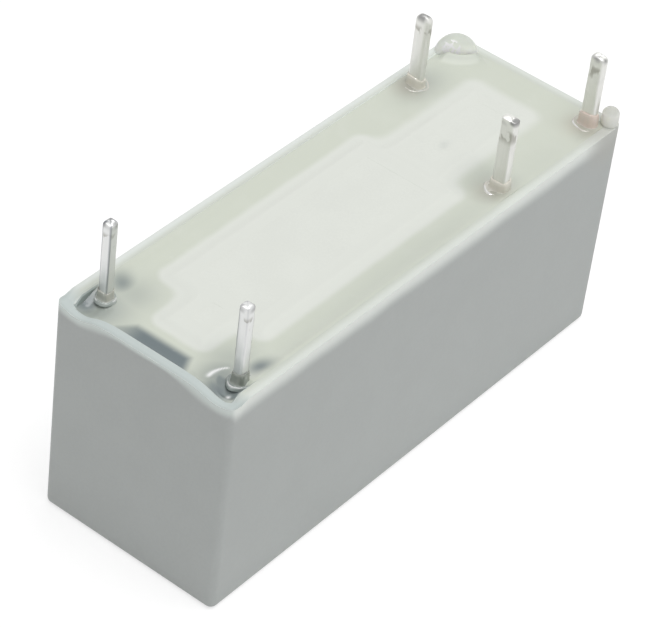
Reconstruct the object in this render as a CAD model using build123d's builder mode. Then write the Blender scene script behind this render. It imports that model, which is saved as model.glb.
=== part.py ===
from build123d import *
from math import atan, cos, radians, sin, sqrt, tan
import os

os.makedirs("parts", exist_ok=True)

# A sealed power relay for circuit boards, standing on its cover with its pins up.
# The origin is the middle of the cover's outer top face, which rests on the floor.
# +X runs from the coil pins to the contact pins, +Z up along the pins.

# Sizes of the box
length = 28.5
width = 10.0
rim_height = 12.0
side_wall = 0.6
top_wall = 0.7
corner_radius = 0.36
floor_edge_radius = 0.3
rim_lead_in = 0.12
standoff_height = 0.95
wide_standoff_radius = 1.05
slim_standoff_radius = 0.42
standoff_inset = 0.02
wide_standoff_setback = 0.2

# Pin layout, seen on the board side
row_inset = 1.19
coil_pin_inset = 1.9
closed_pin_inset = 1.15
contact_pitch = 3.5
pin_length = 4.0
coil_wire = 0.55
wire_corner = 0.1
sheet = 0.5
contact_pin_width = 0.8
pin_tip_rounding = 0.2

# Moulded base, hung from the rim
base_clearance = 0.1
base_depth = 1.4
gutter_depth = 0.7
plateau_depth = 0.05
plateau_draft = 12.0
base_corner_radius = 0.4

# Sealing resin, whose top slopes up a little towards the contact pins
resin_depth = 0.25
resin_slope = 0.0145
flare_height = 0.6
flare_radius = 0.8

# Magnet
flange_inset = 2.35
contact_chamber = 13.25
core_radius = 1.3
core_clearance = 0.02
pole_radius = 2.5
pole_thickness = 0.7
flange_thickness = 0.7
flange_side_gap = 0.3
barrel_radius = 1.8
winding_gap = 0.3
yoke_thickness = 1.0
yoke_inset = 1.0
yoke_gap = 0.3

# Armature, modelled open, and its throw
open_angle = 5.2
armature_thickness = 0.9
armature_stand = 0.03
tongue_half_width = 1.2
air_play = 0.05

# Card that carries the armature's throw to the contact spring
card_float = 0.35
card_thickness = 0.8
card_width = 5.2
card_waist = 3.8
card_catch = 0.15

# Contact set
spring_thickness = 0.2
spring_width = 3.6
contact_head_radius = 1.1
contact_proud = 0.45
contact_dome = 3.0
contact_gap = 0.02
fixed_head_thickness = 0.4
rivet_shank_radius = 0.5
plate_half_width = 1.8

# Places along the box, worked out from the sizes above
cavity_length = length - 2 * side_wall
base_length = cavity_length - 2 * base_clearance
coil_pin_x = coil_pin_inset - length / 2
normally_closed_x = length / 2 - closed_pin_inset
common_x = normally_closed_x - contact_pitch
normally_open_x = common_x - contact_pitch
flange_back_x = flange_inset - length / 2
flange_front_x = length / 2 - contact_chamber - flange_thickness
pole_face_x = flange_front_x + flange_thickness + pole_thickness
yoke_back_x = flange_back_x - yoke_thickness
hinge_x = pole_face_x + core_clearance
spring_x = common_x - sheet / 2 - spring_thickness / 2

# Places across the box
cavity_width = width - 2 * side_wall
base_width = cavity_width - 2 * base_clearance
row_y = width / 2 - row_inset
flange_width = cavity_width - 2 * flange_side_gap
yoke_width = flange_width - 2 * yoke_inset

# Heights: the base and the yoke hang from the rim, the card floats over the cover's top
pin_tip_z = rim_height + pin_length
base_under_z = rim_height - base_depth
gutter_floor_z = rim_height - gutter_depth
plateau_top_z = rim_height - plateau_depth
resin_middle_z = rim_height - resin_depth
yoke_top_z = base_under_z - yoke_gap
yoke_under_z = yoke_top_z - yoke_thickness
winding_radius = (yoke_under_z - top_wall) / 2 - 0.7
coil_axis_z = yoke_under_z - winding_gap - winding_radius
flange_under_z = coil_axis_z - winding_radius - 0.2
yoke_foot_z = coil_axis_z - pole_radius - 0.5
hinge_z = yoke_top_z - air_play
card_under_z = top_wall + card_float
card_top_z = card_under_z + card_thickness
card_middle_z = card_under_z + card_thickness / 2
armature_reach = hinge_z - card_under_z - card_catch
spring_tip_z = card_under_z + card_catch
spring_hinge_z = base_under_z - 1.65
contact_z = card_top_z + 1.55
plate_end_z = card_top_z + 0.25
strap_z = base_under_z - 0.95

# Throw of the armature at the card, and the blade's swing that goes with it
throw = (hinge_z - card_middle_z) * tan(radians(open_angle))
spring_lever = spring_hinge_z - card_middle_z
spring_angle = atan(throw / spring_lever)

# Faces that the moving contact meets at the two ends of its travel
dome_height = contact_dome - sqrt(contact_dome**2 - contact_head_radius**2)
apex = spring_thickness / 2 + contact_proud
closed_reach = (
    (contact_dome - apex) * cos(spring_angle)
    - (spring_hinge_z - contact_z) * sin(spring_angle)
    - contact_dome
)
open_face_x = spring_x + closed_reach - contact_gap
closed_face_x = spring_x + apex + contact_gap
open_plate_x = open_face_x - fixed_head_thickness - sheet / 2
closed_plate_x = closed_face_x + fixed_head_thickness + sheet / 2


def add_box(x_range, y_range, z_range, mode=Mode.ADD):
    """Add or cut a straight-sided block between two values on each axis."""
    ranges = (x_range, y_range, z_range)
    middle = tuple((low + high) / 2 for low, high in ranges)
    with Locations(middle):
        Box(*(high - low for low, high in ranges), mode=mode)


# Cover, an open box with rounded edges and two corner standoffs
wide_inset = wide_standoff_radius + standoff_inset
slim_inset = max(
    slim_standoff_radius + standoff_inset,
    corner_radius - (corner_radius - slim_standoff_radius - standoff_inset) / sqrt(2),
)
standoffs = (
    (
        length / 2 - wide_inset - wide_standoff_setback,
        width / 2 - wide_inset,
        wide_standoff_radius,
    ),
    (length / 2 - slim_inset, slim_inset - width / 2, slim_standoff_radius),
)
standoff_root_z = gutter_floor_z - 0.4
cap_share = 0.75

with BuildPart() as cover:
    with BuildSketch():
        RectangleRounded(length, width, corner_radius)
    extrude(amount=rim_height)
    fillet(cover.faces().sort_by(Axis.Z)[0].edges(), floor_edge_radius)
    with BuildSketch(Plane.XY.offset(top_wall)):
        RectangleRounded(cavity_length, cavity_width, corner_radius / 2)
    extrude(amount=rim_height, mode=Mode.SUBTRACT)
    rim_inner = cover.faces().sort_by(Axis.Z)[-1].inner_wires()[0].edges()
    chamfer(rim_inner, rim_lead_in)
    for post_x, post_y, post_radius in standoffs:
        cap_height = cap_share * post_radius
        cap_z = rim_height + standoff_height
        cap_sphere = (post_radius**2 + cap_height**2) / (2 * cap_height)
        half_way_drop = cap_sphere - sqrt(cap_sphere**2 - (post_radius / 2) ** 2)
        with BuildSketch(Plane.XZ.offset(-post_y)):
            with BuildLine():
                Polyline(
                    (post_x, cap_z),
                    (post_x, standoff_root_z),
                    (post_x + post_radius, standoff_root_z),
                    (post_x + post_radius, cap_z - cap_height),
                )
                ThreePointArc(
                    (post_x + post_radius, cap_z - cap_height),
                    (post_x + post_radius / 2, cap_z - half_way_drop),
                    (post_x, cap_z),
                )
            make_face()
        revolve(axis=Axis((post_x, post_y, 0), (0, 0, 1)))
cover.part.label = "cover"
export_step(cover.part, "parts/cover.step")


# Coil terminals, square wire pressed into the bobbin's ears
coil_pin_end_z = base_under_z - 4.7
terminals = []

for name, pin_y in (("coil_terminal_a", row_y), ("coil_terminal_b", -row_y)):
    with BuildPart() as coil_terminal:
        with BuildSketch(Plane.XY.offset(coil_pin_end_z)) as wire_section:
            with Locations((coil_pin_x, pin_y)):
                Rectangle(coil_wire, coil_wire)
            chamfer(wire_section.vertices(), wire_corner)
        extrude(amount=pin_tip_z - coil_pin_end_z)
        chamfer(coil_terminal.faces().sort_by(Axis.Z)[-1].edges(), wire_corner)
    coil_terminal.part.label = name
    export_step(coil_terminal.part, f"parts/{name}.step")
    terminals.append(coil_terminal.part)


# Fixed terminals, stamped strips bent twice: a pin, a strap under the base, a contact plate
bend_radius = 0.45
plate_corner_radius = 0.6
pin_outer_y = row_y + contact_pin_width / 2
pin_inner_y = row_y - contact_pin_width / 2
fixed_terminals = (
    ("no_terminal", normally_open_x, open_plate_x),
    ("nc_terminal", normally_closed_x, closed_plate_x),
)

for name, pin_x, plate_x in fixed_terminals:
    with BuildPart() as fixed_terminal:
        with BuildSketch(Plane.XZ.offset(pin_outer_y)):
            with BuildLine():
                FilletPolyline(
                    (pin_x, pin_tip_z),
                    (pin_x, strap_z),
                    (plate_x, strap_z),
                    (plate_x, plate_end_z),
                    radius=bend_radius,
                )
            trace(line_width=sheet)
        extrude(amount=-(pin_outer_y + plate_half_width))
        add_box(
            (pin_x - sheet, pin_x + sheet),
            (-pin_inner_y, plate_half_width),
            (strap_z + sheet / 2, pin_tip_z),
            Mode.SUBTRACT,
        )
        add_box(
            (plate_x - sheet, plate_x + sheet),
            (-pin_outer_y, -plate_half_width),
            (plate_end_z, strap_z - sheet / 2),
            Mode.SUBTRACT,
        )
        with BuildSketch(Plane.YZ.offset(plate_x - sheet)):
            with Locations((0, contact_z)):
                Circle(rivet_shank_radius)
        extrude(amount=2 * sheet, mode=Mode.SUBTRACT)
        fillet(
            fixed_terminal.edges().filter_by(Axis.X).group_by(Axis.Z)[0], plate_corner_radius
        )
        fillet(fixed_terminal.faces().sort_by(Axis.Z)[-1].edges(), pin_tip_rounding)
    fixed_terminal.part.label = name
    export_step(fixed_terminal.part, f"parts/{name}.step")
    terminals.append(fixed_terminal.part)


# Common terminal, one flat stamping that carries the contact spring
common_plate_under_z = spring_hinge_z + 0.05
common_rivet_y = 0.9
common_rivet_z = spring_hinge_z + 0.8
common_rivet_radius = 0.25

with BuildPart() as com_terminal:
    with BuildSketch(Plane.YZ.offset(common_x - sheet / 2)):
        with BuildLine():
            Polyline(
                (pin_outer_y, pin_tip_z),
                (pin_inner_y, pin_tip_z),
                (pin_inner_y, base_under_z),
                (-plate_half_width, base_under_z),
                (-plate_half_width, common_plate_under_z),
                (pin_inner_y, common_plate_under_z),
                (pin_outer_y, common_plate_under_z + contact_pin_width),
                close=True,
            )
        make_face()
        with Locations((common_rivet_y, common_rivet_z), (-common_rivet_y, common_rivet_z)):
            Circle(common_rivet_radius, mode=Mode.SUBTRACT)
    extrude(amount=sheet)
    fillet(com_terminal.faces().sort_by(Axis.Z)[-1].edges(), pin_tip_rounding)
com_terminal.part.label = "com_terminal"
export_step(com_terminal.part, "parts/com_terminal.step")
terminals.append(com_terminal.part)


# Fixed contacts, flat-headed rivets staked through the plates, each facing the moving one
contact_edge = 0.08
tail_radius = 0.75
tail_height = 0.12
fixed_contacts = (
    ("no_contact", open_face_x, open_plate_x, 1),
    ("nc_contact", closed_face_x, closed_plate_x, -1),
)

for name, face_x, plate_x, side in fixed_contacts:
    near_x = plate_x + side * sheet / 2
    far_x = plate_x - side * sheet / 2
    with BuildPart() as fixed_contact:
        with BuildSketch(Plane.XZ):
            with BuildLine():
                Polyline(
                    (face_x, contact_z),
                    (face_x, contact_z + contact_head_radius - contact_edge),
                    (face_x - side * contact_edge, contact_z + contact_head_radius),
                    (near_x, contact_z + contact_head_radius),
                    (near_x, contact_z + rivet_shank_radius),
                    (far_x, contact_z + rivet_shank_radius),
                    (far_x, contact_z + tail_radius),
                    (far_x - side * tail_height, contact_z + tail_radius),
                    (far_x - side * tail_height, contact_z),
                    close=True,
                )
            make_face()
        revolve(axis=Axis((0, 0, contact_z), (1, 0, 0)))
    fixed_contact.part.label = name
    export_step(fixed_contact.part, f"parts/{name}.step")


# Contact spring: a riveted foot, and a blade that swings at the foot's edge
foot_gap = 0.03
foot_top_z = base_under_z - 0.2
blade_neck_half = 1.3
blade_tip_half = 0.8
blade_shoulder_z = card_top_z + 0.07
blade_window_width = 1.1
blade_window_length = 3.0

with BuildPart() as spring_foot:
    with BuildSketch(Plane.YZ.offset(spring_x - spring_thickness / 2)):
        with Locations((0, (spring_hinge_z + foot_gap + foot_top_z) / 2)):
            Rectangle(spring_width, foot_top_z - spring_hinge_z - foot_gap)
        with Locations((common_rivet_y, common_rivet_z), (-common_rivet_y, common_rivet_z)):
            Circle(common_rivet_radius, mode=Mode.SUBTRACT)
    extrude(amount=spring_thickness)
spring_foot.part.label = "spring_foot"
export_step(spring_foot.part, "parts/spring_foot.step")

with BuildPart() as contact_spring:
    with BuildSketch(Plane.YZ.offset(spring_x - spring_thickness / 2)):
        with BuildLine():
            Polyline(
                (spring_width / 2, spring_hinge_z),
                (spring_width / 2, spring_hinge_z - 3.4),
                (blade_neck_half, spring_hinge_z - 4.4),
                (blade_neck_half, blade_shoulder_z),
                (blade_tip_half, blade_shoulder_z),
                (blade_tip_half, spring_tip_z),
                (-blade_tip_half, spring_tip_z),
                (-blade_tip_half, blade_shoulder_z),
                (-blade_neck_half, blade_shoulder_z),
                (-blade_neck_half, spring_hinge_z - 4.4),
                (-spring_width / 2, spring_hinge_z - 3.4),
                (-spring_width / 2, spring_hinge_z),
                close=True,
            )
        make_face()
        with Locations((0, spring_hinge_z - 2.1)):
            SlotOverall(blade_window_length, blade_window_width, rotation=90, mode=Mode.SUBTRACT)
        with Locations((0, contact_z)):
            Circle(rivet_shank_radius, mode=Mode.SUBTRACT)
    extrude(amount=spring_thickness)
contact_spring.part.label = "contact_spring"
export_step(contact_spring.part, "parts/contact_spring.step")

with BuildPart() as com_rivets:
    rivet_head_radius = 0.42
    rivet_head_height = 0.14
    for rivet_y in (common_rivet_y, -common_rivet_y):
        with BuildSketch(Plane.YZ.offset(spring_x - spring_thickness / 2 - rivet_head_height)):
            with Locations((rivet_y, common_rivet_z)):
                Circle(rivet_head_radius)
        extrude(amount=rivet_head_height)
        with BuildSketch(Plane.YZ.offset(spring_x - spring_thickness / 2)):
            with Locations((rivet_y, common_rivet_z)):
                Circle(common_rivet_radius)
        extrude(amount=spring_thickness + sheet)
        with BuildSketch(Plane.YZ.offset(common_x + sheet / 2)):
            with Locations((rivet_y, common_rivet_z)):
                Circle(rivet_head_radius)
        extrude(amount=rivet_head_height)
com_rivets.part.label = "com_rivets"
export_step(com_rivets.part, "parts/com_rivets.step")

# Moving contact, one rivet with a dome on each side of the blade
half_radius = contact_head_radius / 2
half_sag = contact_dome - sqrt(contact_dome**2 - half_radius**2)
blade_face = spring_thickness / 2

with BuildPart() as moving_contact:
    with BuildSketch(Plane.XZ):
        with BuildLine():
            ThreePointArc(
                (spring_x - apex, contact_z),
                (spring_x - apex + half_sag, contact_z + half_radius),
                (spring_x - apex + dome_height, contact_z + contact_head_radius),
            )
            Polyline(
                (spring_x - apex + dome_height, contact_z + contact_head_radius),
                (spring_x - blade_face, contact_z + contact_head_radius),
                (spring_x - blade_face, contact_z + rivet_shank_radius),
                (spring_x + blade_face, contact_z + rivet_shank_radius),
                (spring_x + blade_face, contact_z + contact_head_radius),
                (spring_x + apex - dome_height, contact_z + contact_head_radius),
            )
            ThreePointArc(
                (spring_x + apex - dome_height, contact_z + contact_head_radius),
                (spring_x + apex - half_sag, contact_z + half_radius),
                (spring_x + apex, contact_z),
            )
            Line((spring_x + apex, contact_z), (spring_x - apex, contact_z))
        make_face()
    revolve(axis=Axis((0, 0, contact_z), (1, 0, 0)))
moving_contact.part.label = "moving_contact"
export_step(moving_contact.part, "parts/moving_contact.step")


# Card, a flat slide with a slot for the armature's tongue and one for the spring's tip
tilt = radians(open_angle)
slot_start_x = hinge_x + armature_stand + (hinge_z - card_top_z) * tan(tilt) - air_play
slot_end_x = (
    hinge_x
    + (armature_stand + armature_thickness) / cos(tilt)
    + (hinge_z - card_under_z) * tan(tilt)
    + air_play
)
tip_slot_half = spring_thickness / 2 + 0.06
card_wall = 0.5
card_start_x = slot_start_x - card_wall
card_end_x = spring_x + tip_slot_half + card_wall
waist_start_x = slot_end_x + card_wall
waist_end_x = spring_x - 1.6
window_length = waist_end_x - waist_start_x - 1.2

with BuildPart() as card:
    with BuildSketch(Plane.XY.offset(card_under_z)) as card_outline:
        with Locations(((card_start_x + card_end_x) / 2, 0)):
            RectangleRounded(card_end_x - card_start_x, card_width, 0.3)
        for side in (1, -1):
            with Locations(((waist_start_x + waist_end_x) / 2, side * card_width / 2)):
                Rectangle(
                    waist_end_x - waist_start_x, card_width - card_waist, mode=Mode.SUBTRACT
                )
        with Locations(((slot_start_x + slot_end_x) / 2, 0)):
            Rectangle(
                slot_end_x - slot_start_x,
                2 * (tongue_half_width + air_play),
                mode=Mode.SUBTRACT,
            )
        with Locations((spring_x, 0)):
            Rectangle(
                2 * tip_slot_half, 2 * (blade_tip_half + air_play), mode=Mode.SUBTRACT
            )
        with Locations(((waist_start_x + waist_end_x) / 2, 0)):
            SlotOverall(window_length, 1.2, mode=Mode.SUBTRACT)
    extrude(amount=card_thickness)
card.part.label = "card"
export_step(card.part, "parts/card.step")


# Bobbin with its two flanges, its barrel and an ear round each coil pin
ear_half_width = 0.5
ear_under_z = coil_pin_end_z + 0.9
ear_back_x = coil_pin_x - 0.55
bend_relief = 0.25
flange_height = yoke_under_z - flange_under_z
flange_middle_z = flange_under_z + flange_height / 2

with BuildPart() as coil_bobbin:
    for flange_x in (flange_back_x, flange_front_x):
        with BuildSketch(Plane.YZ.offset(flange_x)):
            with Locations((0, flange_middle_z)):
                RectangleRounded(flange_width, flange_height, 0.9)
        extrude(amount=flange_thickness)
    back_edge = coil_bobbin.faces().sort_by(Axis.X)[0].edges().sort_by(Axis.Z)[-1]
    chamfer(back_edge, bend_relief)
    with BuildSketch(Plane.YZ.offset(flange_back_x)):
        with Locations((0, coil_axis_z)):
            Circle(barrel_radius)
    extrude(amount=flange_front_x - flange_back_x)
    for ear_y in (row_y, -row_y):
        add_box(
            (ear_back_x, flange_back_x + flange_thickness),
            (ear_y - ear_half_width, ear_y + ear_half_width),
            (ear_under_z, base_under_z),
        )
    with BuildSketch(Plane.YZ.offset(flange_back_x)):
        with Locations((0, coil_axis_z)):
            Circle(core_radius + core_clearance)
    extrude(amount=flange_front_x + flange_thickness - flange_back_x, mode=Mode.SUBTRACT)
    add(terminals[:2], mode=Mode.SUBTRACT)
coil_bobbin.part.label = "coil_bobbin"
export_step(coil_bobbin.part, "parts/coil_bobbin.step")

# Winding, wire wound in full layers, the last of them short
winding_start_x = flange_back_x + flange_thickness
last_layer = 0.15
last_layer_end_x = flange_front_x - 1.1

with BuildPart() as coil_winding:
    with BuildSketch(Plane.XZ):
        with BuildLine():
            Polyline(
                (winding_start_x, coil_axis_z + barrel_radius),
                (winding_start_x, coil_axis_z + winding_radius),
                (last_layer_end_x, coil_axis_z + winding_radius),
                (last_layer_end_x + last_layer, coil_axis_z + winding_radius - last_layer),
                (flange_front_x, coil_axis_z + winding_radius - last_layer),
                (flange_front_x, coil_axis_z + barrel_radius),
                close=True,
            )
        make_face()
    revolve(axis=Axis((0, 0, coil_axis_z), (1, 0, 0)))
coil_winding.part.label = "coil_winding"
export_step(coil_winding.part, "parts/coil_winding.step")

# Wire ends wrapped round the lower ends of the coil pins
wrap_height = 0.16
wrap_wall = 0.11
wrap_step = 0.03
wrap_turns = 3

with BuildPart() as coil_leads:
    for pin_y in (row_y, -row_y):
        for turn in range(wrap_turns):
            turn_z = coil_pin_end_z + 0.15 + turn * wrap_height
            turn_width = coil_wire + 2 * (wrap_wall - wrap_step * (turn % 2))
            with BuildSketch(Plane.XY.offset(turn_z)) as turn_section:
                with Locations((coil_pin_x, pin_y)):
                    Rectangle(turn_width, turn_width)
                chamfer(turn_section.vertices(), 2 * wire_corner)
            extrude(amount=wrap_height)
    add(terminals[:2], mode=Mode.SUBTRACT)
coil_leads.part.label = "coil_leads"
export_step(coil_leads.part, "parts/coil_leads.step")

# Iron core with its pole head, riveted through the yoke
tail_core_radius = 0.9
staked_radius = 1.15
staked_height = 0.15

with BuildPart() as iron_core:
    with BuildSketch(Plane.XZ):
        with BuildLine():
            Polyline(
                (yoke_back_x - staked_height, coil_axis_z),
                (yoke_back_x - staked_height, coil_axis_z + staked_radius),
                (yoke_back_x, coil_axis_z + staked_radius),
                (yoke_back_x, coil_axis_z + tail_core_radius),
                (flange_back_x, coil_axis_z + tail_core_radius),
                (flange_back_x, coil_axis_z + core_radius),
                (pole_face_x - pole_thickness, coil_axis_z + core_radius),
                (pole_face_x - pole_thickness, coil_axis_z + pole_radius),
                (pole_face_x - 0.15, coil_axis_z + pole_radius),
                (pole_face_x, coil_axis_z + pole_radius - 0.15),
                (pole_face_x, coil_axis_z),
                close=True,
            )
        make_face()
    revolve(axis=Axis((0, 0, coil_axis_z), (1, 0, 0)))
iron_core.part.label = "iron_core"
export_step(iron_core.part, "parts/iron_core.step")

# Yoke, a bent strip with two bosses that hold the retaining spring
stake_radius = 0.35
stake_x = pole_face_x - 4.3
stake_y = 0.85
stake_height = 0.2
leaf_thickness = 0.12

with BuildPart() as yoke:
    with BuildSketch(Plane.XZ.offset(-yoke_width / 2)):
        with BuildLine():
            FilletPolyline(
                (yoke_back_x + yoke_thickness / 2, yoke_foot_z),
                (yoke_back_x + yoke_thickness / 2, yoke_top_z - yoke_thickness / 2),
                (pole_face_x, yoke_top_z - yoke_thickness / 2),
                radius=yoke_thickness * 0.7,
            )
        trace(line_width=yoke_thickness)
    extrude(amount=yoke_width)
    with BuildSketch(Plane.YZ.offset(yoke_back_x)):
        with Locations((0, coil_axis_z)):
            Circle(tail_core_radius)
    extrude(amount=yoke_thickness, mode=Mode.SUBTRACT)
    with BuildSketch(Plane.XY.offset(yoke_top_z)):
        with Locations((stake_x, stake_y), (stake_x, -stake_y)):
            Circle(stake_radius)
    extrude(amount=stake_height)
yoke.part.label = "yoke"
export_step(yoke.part, "parts/yoke.step")

# Armature, a plate hinged at the yoke's edge, its tongue reaching into the card
armature_face = Plane(
    origin=(
        hinge_x + armature_stand * cos(tilt),
        0,
        hinge_z + armature_stand * sin(tilt),
    ),
    x_dir=(0, 1, 0),
    z_dir=(cos(tilt), 0, sin(tilt)),
)
armature_half = yoke_width / 2
shoulder_half = 2.0
shoulder_reach = armature_reach - 0.72
taper_end = armature_reach - 1.65
taper_start = armature_reach - 2.85

with BuildPart() as armature:
    with BuildSketch(armature_face):
        with BuildLine():
            Polyline(
                (armature_half, 0),
                (armature_half, -taper_start),
                (shoulder_half, -taper_end),
                (shoulder_half, -shoulder_reach),
                (tongue_half_width, -shoulder_reach),
                (tongue_half_width, -armature_reach),
                (-tongue_half_width, -armature_reach),
                (-tongue_half_width, -shoulder_reach),
                (-shoulder_half, -shoulder_reach),
                (-shoulder_half, -taper_end),
                (-armature_half, -taper_start),
                (-armature_half, 0),
                close=True,
            )
        make_face()
    extrude(amount=armature_thickness)
armature.part.label = "armature"
export_step(armature.part, "parts/armature.step")

# Retaining spring, a leaf that keeps the armature in at the yoke's edge
leaf_z = yoke_top_z + leaf_thickness / 2
leaf_rise = 0.08
leaf_half_width = 1.5
leaf_arm_x = pole_face_x + 1.32
leaf_tail_x = pole_face_x - 5.2
leaf_touch_x = pole_face_x + 1.17

with BuildPart() as armature_spring:
    with BuildSketch(Plane.XZ.offset(-leaf_half_width)):
        with BuildLine():
            Polyline(
                (leaf_tail_x, leaf_z),
                (pole_face_x - 0.4, leaf_z),
                (pole_face_x - 0.05, leaf_z + leaf_rise),
                (leaf_arm_x, leaf_z + leaf_rise),
                (leaf_arm_x, yoke_top_z - 0.8),
                (leaf_touch_x, yoke_top_z - 1.35),
                (leaf_touch_x + 0.18, yoke_top_z - 1.75),
            )
        trace(line_width=leaf_thickness)
    extrude(amount=2 * leaf_half_width)
    with BuildSketch(Plane.XY.offset(yoke_top_z)):
        with Locations((stake_x, stake_y), (stake_x, -stake_y)):
            Circle(stake_radius)
    extrude(amount=leaf_thickness, mode=Mode.SUBTRACT)
armature_spring.part.label = "armature_spring"
export_step(armature_spring.part, "parts/armature_spring.step")


# Base plate with its raised middle, the wall between coil and contacts, and its seats
plateau_half_width = width / 2 - 1.8
plateau_near_x = 4.2 - length / 2
plateau_far_x = length / 2 - 9.0
tongue_near_x = 1.9 - length / 2
tongue_far_x = length / 2 - 2.0
near_tongue_half = plateau_half_width - 1.48
far_tongue_half = plateau_half_width - 1.0
far_tongue_middle_y = 0.3
plateau_rounding = 0.32
gate_x = length / 2 - 7.6
gate_radius = 0.35
gate_depth = 0.06
barrier_x = pole_face_x + 2.4
barrier_thickness = 0.6
barrier_half_width = base_width / 2 - base_clearance
window_half_width = card_width / 2 + 0.15
window_top_z = card_top_z + 0.45
gusset_thickness = 0.5
gusset_reach = 0.7
gusset_height = 2.4
rib_width = 0.4
rib_y = yoke_width / 2 - 0.5
seat_start_y = -(row_y + 0.39)
seat_end_y = 1.21 - row_y
cheek_thickness = 0.35
notch_length = 0.6
notch_start_y = -1.7
notch_end_y = 1.9
notch_floor_z = gutter_floor_z - 0.4
notch_inner_x = notch_length + base_clearance - cavity_length / 2
post_clearance = 0.06
nub_length = 1.2
nub_height = 0.5
side_nub_x = 0.28 * length
end_nub_y = 0.26 * width

with BuildPart() as base:
    with BuildSketch(Plane.XY.offset(base_under_z)):
        RectangleRounded(base_length, base_width, base_corner_radius)
    extrude(amount=gutter_floor_z - base_under_z)
    with BuildSketch(Plane.XY.offset(gutter_floor_z)) as plateau:
        with Locations(((plateau_near_x + plateau_far_x) / 2, 0)):
            Rectangle(plateau_far_x - plateau_near_x, 2 * plateau_half_width)
        with Locations(((tongue_near_x + plateau_near_x) / 2, 0)):
            Rectangle(plateau_near_x - tongue_near_x, 2 * near_tongue_half)
        with Locations(((plateau_far_x + tongue_far_x) / 2, far_tongue_middle_y)):
            Rectangle(tongue_far_x - plateau_far_x, 2 * far_tongue_half)
        fillet(plateau.vertices(), plateau_rounding)
    extrude(amount=plateau_top_z - gutter_floor_z, taper=plateau_draft)
    with BuildSketch(Plane.XY.offset(base_under_z)):
        with Locations((side_nub_x, 0), (-side_nub_x, 0)):
            Rectangle(nub_length, cavity_width)
        with Locations((0, end_nub_y), (0, -end_nub_y)):
            Rectangle(cavity_length, nub_length)
    extrude(amount=nub_height)
    with BuildSketch(Plane.YZ.offset(barrier_x)):
        with Locations((0, (top_wall + base_under_z) / 2)):
            Rectangle(2 * barrier_half_width, base_under_z - top_wall)
        with Locations((0, (top_wall + window_top_z) / 2)):
            Rectangle(2 * window_half_width, window_top_z - top_wall, mode=Mode.SUBTRACT)
    extrude(amount=barrier_thickness)
    for side in (1, -1):
        gusset_y = side * (barrier_half_width - gusset_thickness)
        with BuildSketch(Plane.XZ.offset(gusset_y)):
            with BuildLine():
                Polyline(
                    (barrier_x, base_under_z),
                    (barrier_x - gusset_reach, base_under_z),
                    (barrier_x, base_under_z - gusset_height),
                    close=True,
                )
            make_face()
        extrude(amount=gusset_thickness / 2, both=True)
        add_box(
            (flange_back_x + 1.1, pole_face_x - 1.1),
            (side * rib_y - rib_width / 2, side * rib_y + rib_width / 2),
            (yoke_top_z, base_under_z),
        )
    add_box(
        (normally_open_x - sheet, open_plate_x + 0.3),
        (seat_start_y, seat_end_y),
        (strap_z + sheet / 2, base_under_z),
    )
    add_box(
        (closed_plate_x - 0.3, base_length / 2 - 0.05),
        (seat_start_y, seat_end_y),
        (strap_z + sheet / 2, base_under_z),
    )
    for cheek_x in (common_x - sheet / 2 - cheek_thickness, common_x + sheet / 2):
        add_box(
            (cheek_x, cheek_x + cheek_thickness),
            (plate_half_width + 0.4, row_y + 0.29),
            (common_rivet_z, base_under_z),
        )
    add_box(
        (-cavity_length / 2, notch_inner_x),
        (notch_start_y, notch_end_y),
        (notch_floor_z, gutter_floor_z),
        Mode.SUBTRACT,
    )
    for post_x, post_y, post_radius in standoffs:
        with BuildSketch(Plane.XY.offset(base_under_z)):
            with Locations((post_x, post_y)):
                Circle(post_radius + post_clearance)
        extrude(amount=plateau_top_z - base_under_z, mode=Mode.SUBTRACT)
    with BuildSketch(Plane.XY.offset(plateau_top_z - gate_depth)):
        with Locations((gate_x, 0)):
            Circle(gate_radius)
    extrude(amount=gate_depth, mode=Mode.SUBTRACT)
    add(terminals, mode=Mode.SUBTRACT)
base.part.label = "base"
export_step(base.part, "parts/base.step")


# Sealing resin poured into the gutter, creeping up each pin in a small flare
pins = (
    (coil_pin_x, row_y, coil_wire * 0.8),
    (coil_pin_x, -row_y, coil_wire * 0.8),
    (common_x, row_y, contact_pin_width * 0.68),
    (normally_open_x, -row_y, contact_pin_width * 0.68),
    (normally_closed_x, -row_y, contact_pin_width * 0.68),
)

with BuildPart() as sealing_resin:
    with BuildSketch(Plane.XY.offset(gutter_floor_z)):
        RectangleRounded(cavity_length, cavity_width, corner_radius / 2)
    extrude(amount=rim_height - gutter_floor_z)
    add_box(
        (-cavity_length / 2, notch_inner_x),
        (notch_start_y, notch_end_y),
        (notch_floor_z, gutter_floor_z),
    )
    split(
        bisect_by=Plane(origin=(0, 0, resin_middle_z), z_dir=(-resin_slope, 0, 1)),
        keep=Keep.BOTTOM,
    )
    for pin_x, pin_y, collar in pins:
        level = resin_middle_z + resin_slope * pin_x - 0.02
        with BuildSketch(Plane.XZ.offset(-pin_y)):
            with BuildLine():
                Polyline(
                    (pin_x, level),
                    (pin_x + flare_radius, level),
                    (pin_x + collar, level + flare_height),
                    (pin_x, level + flare_height),
                    close=True,
                )
            make_face()
        revolve(axis=Axis((pin_x, pin_y, 0), (0, 0, 1)))
    with BuildSketch(Plane.XY.offset(notch_floor_z)):
        RectangleRounded(cavity_length, cavity_width, corner_radius / 2)
    extrude(amount=pin_tip_z - notch_floor_z, mode=Mode.INTERSECT)
    add(cover.part, mode=Mode.SUBTRACT)
    add(base.part, mode=Mode.SUBTRACT)
    add(terminals, mode=Mode.SUBTRACT)
sealing_resin.part.label = "sealing_resin"
export_step(sealing_resin.part, "parts/sealing_resin.step")
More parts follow.
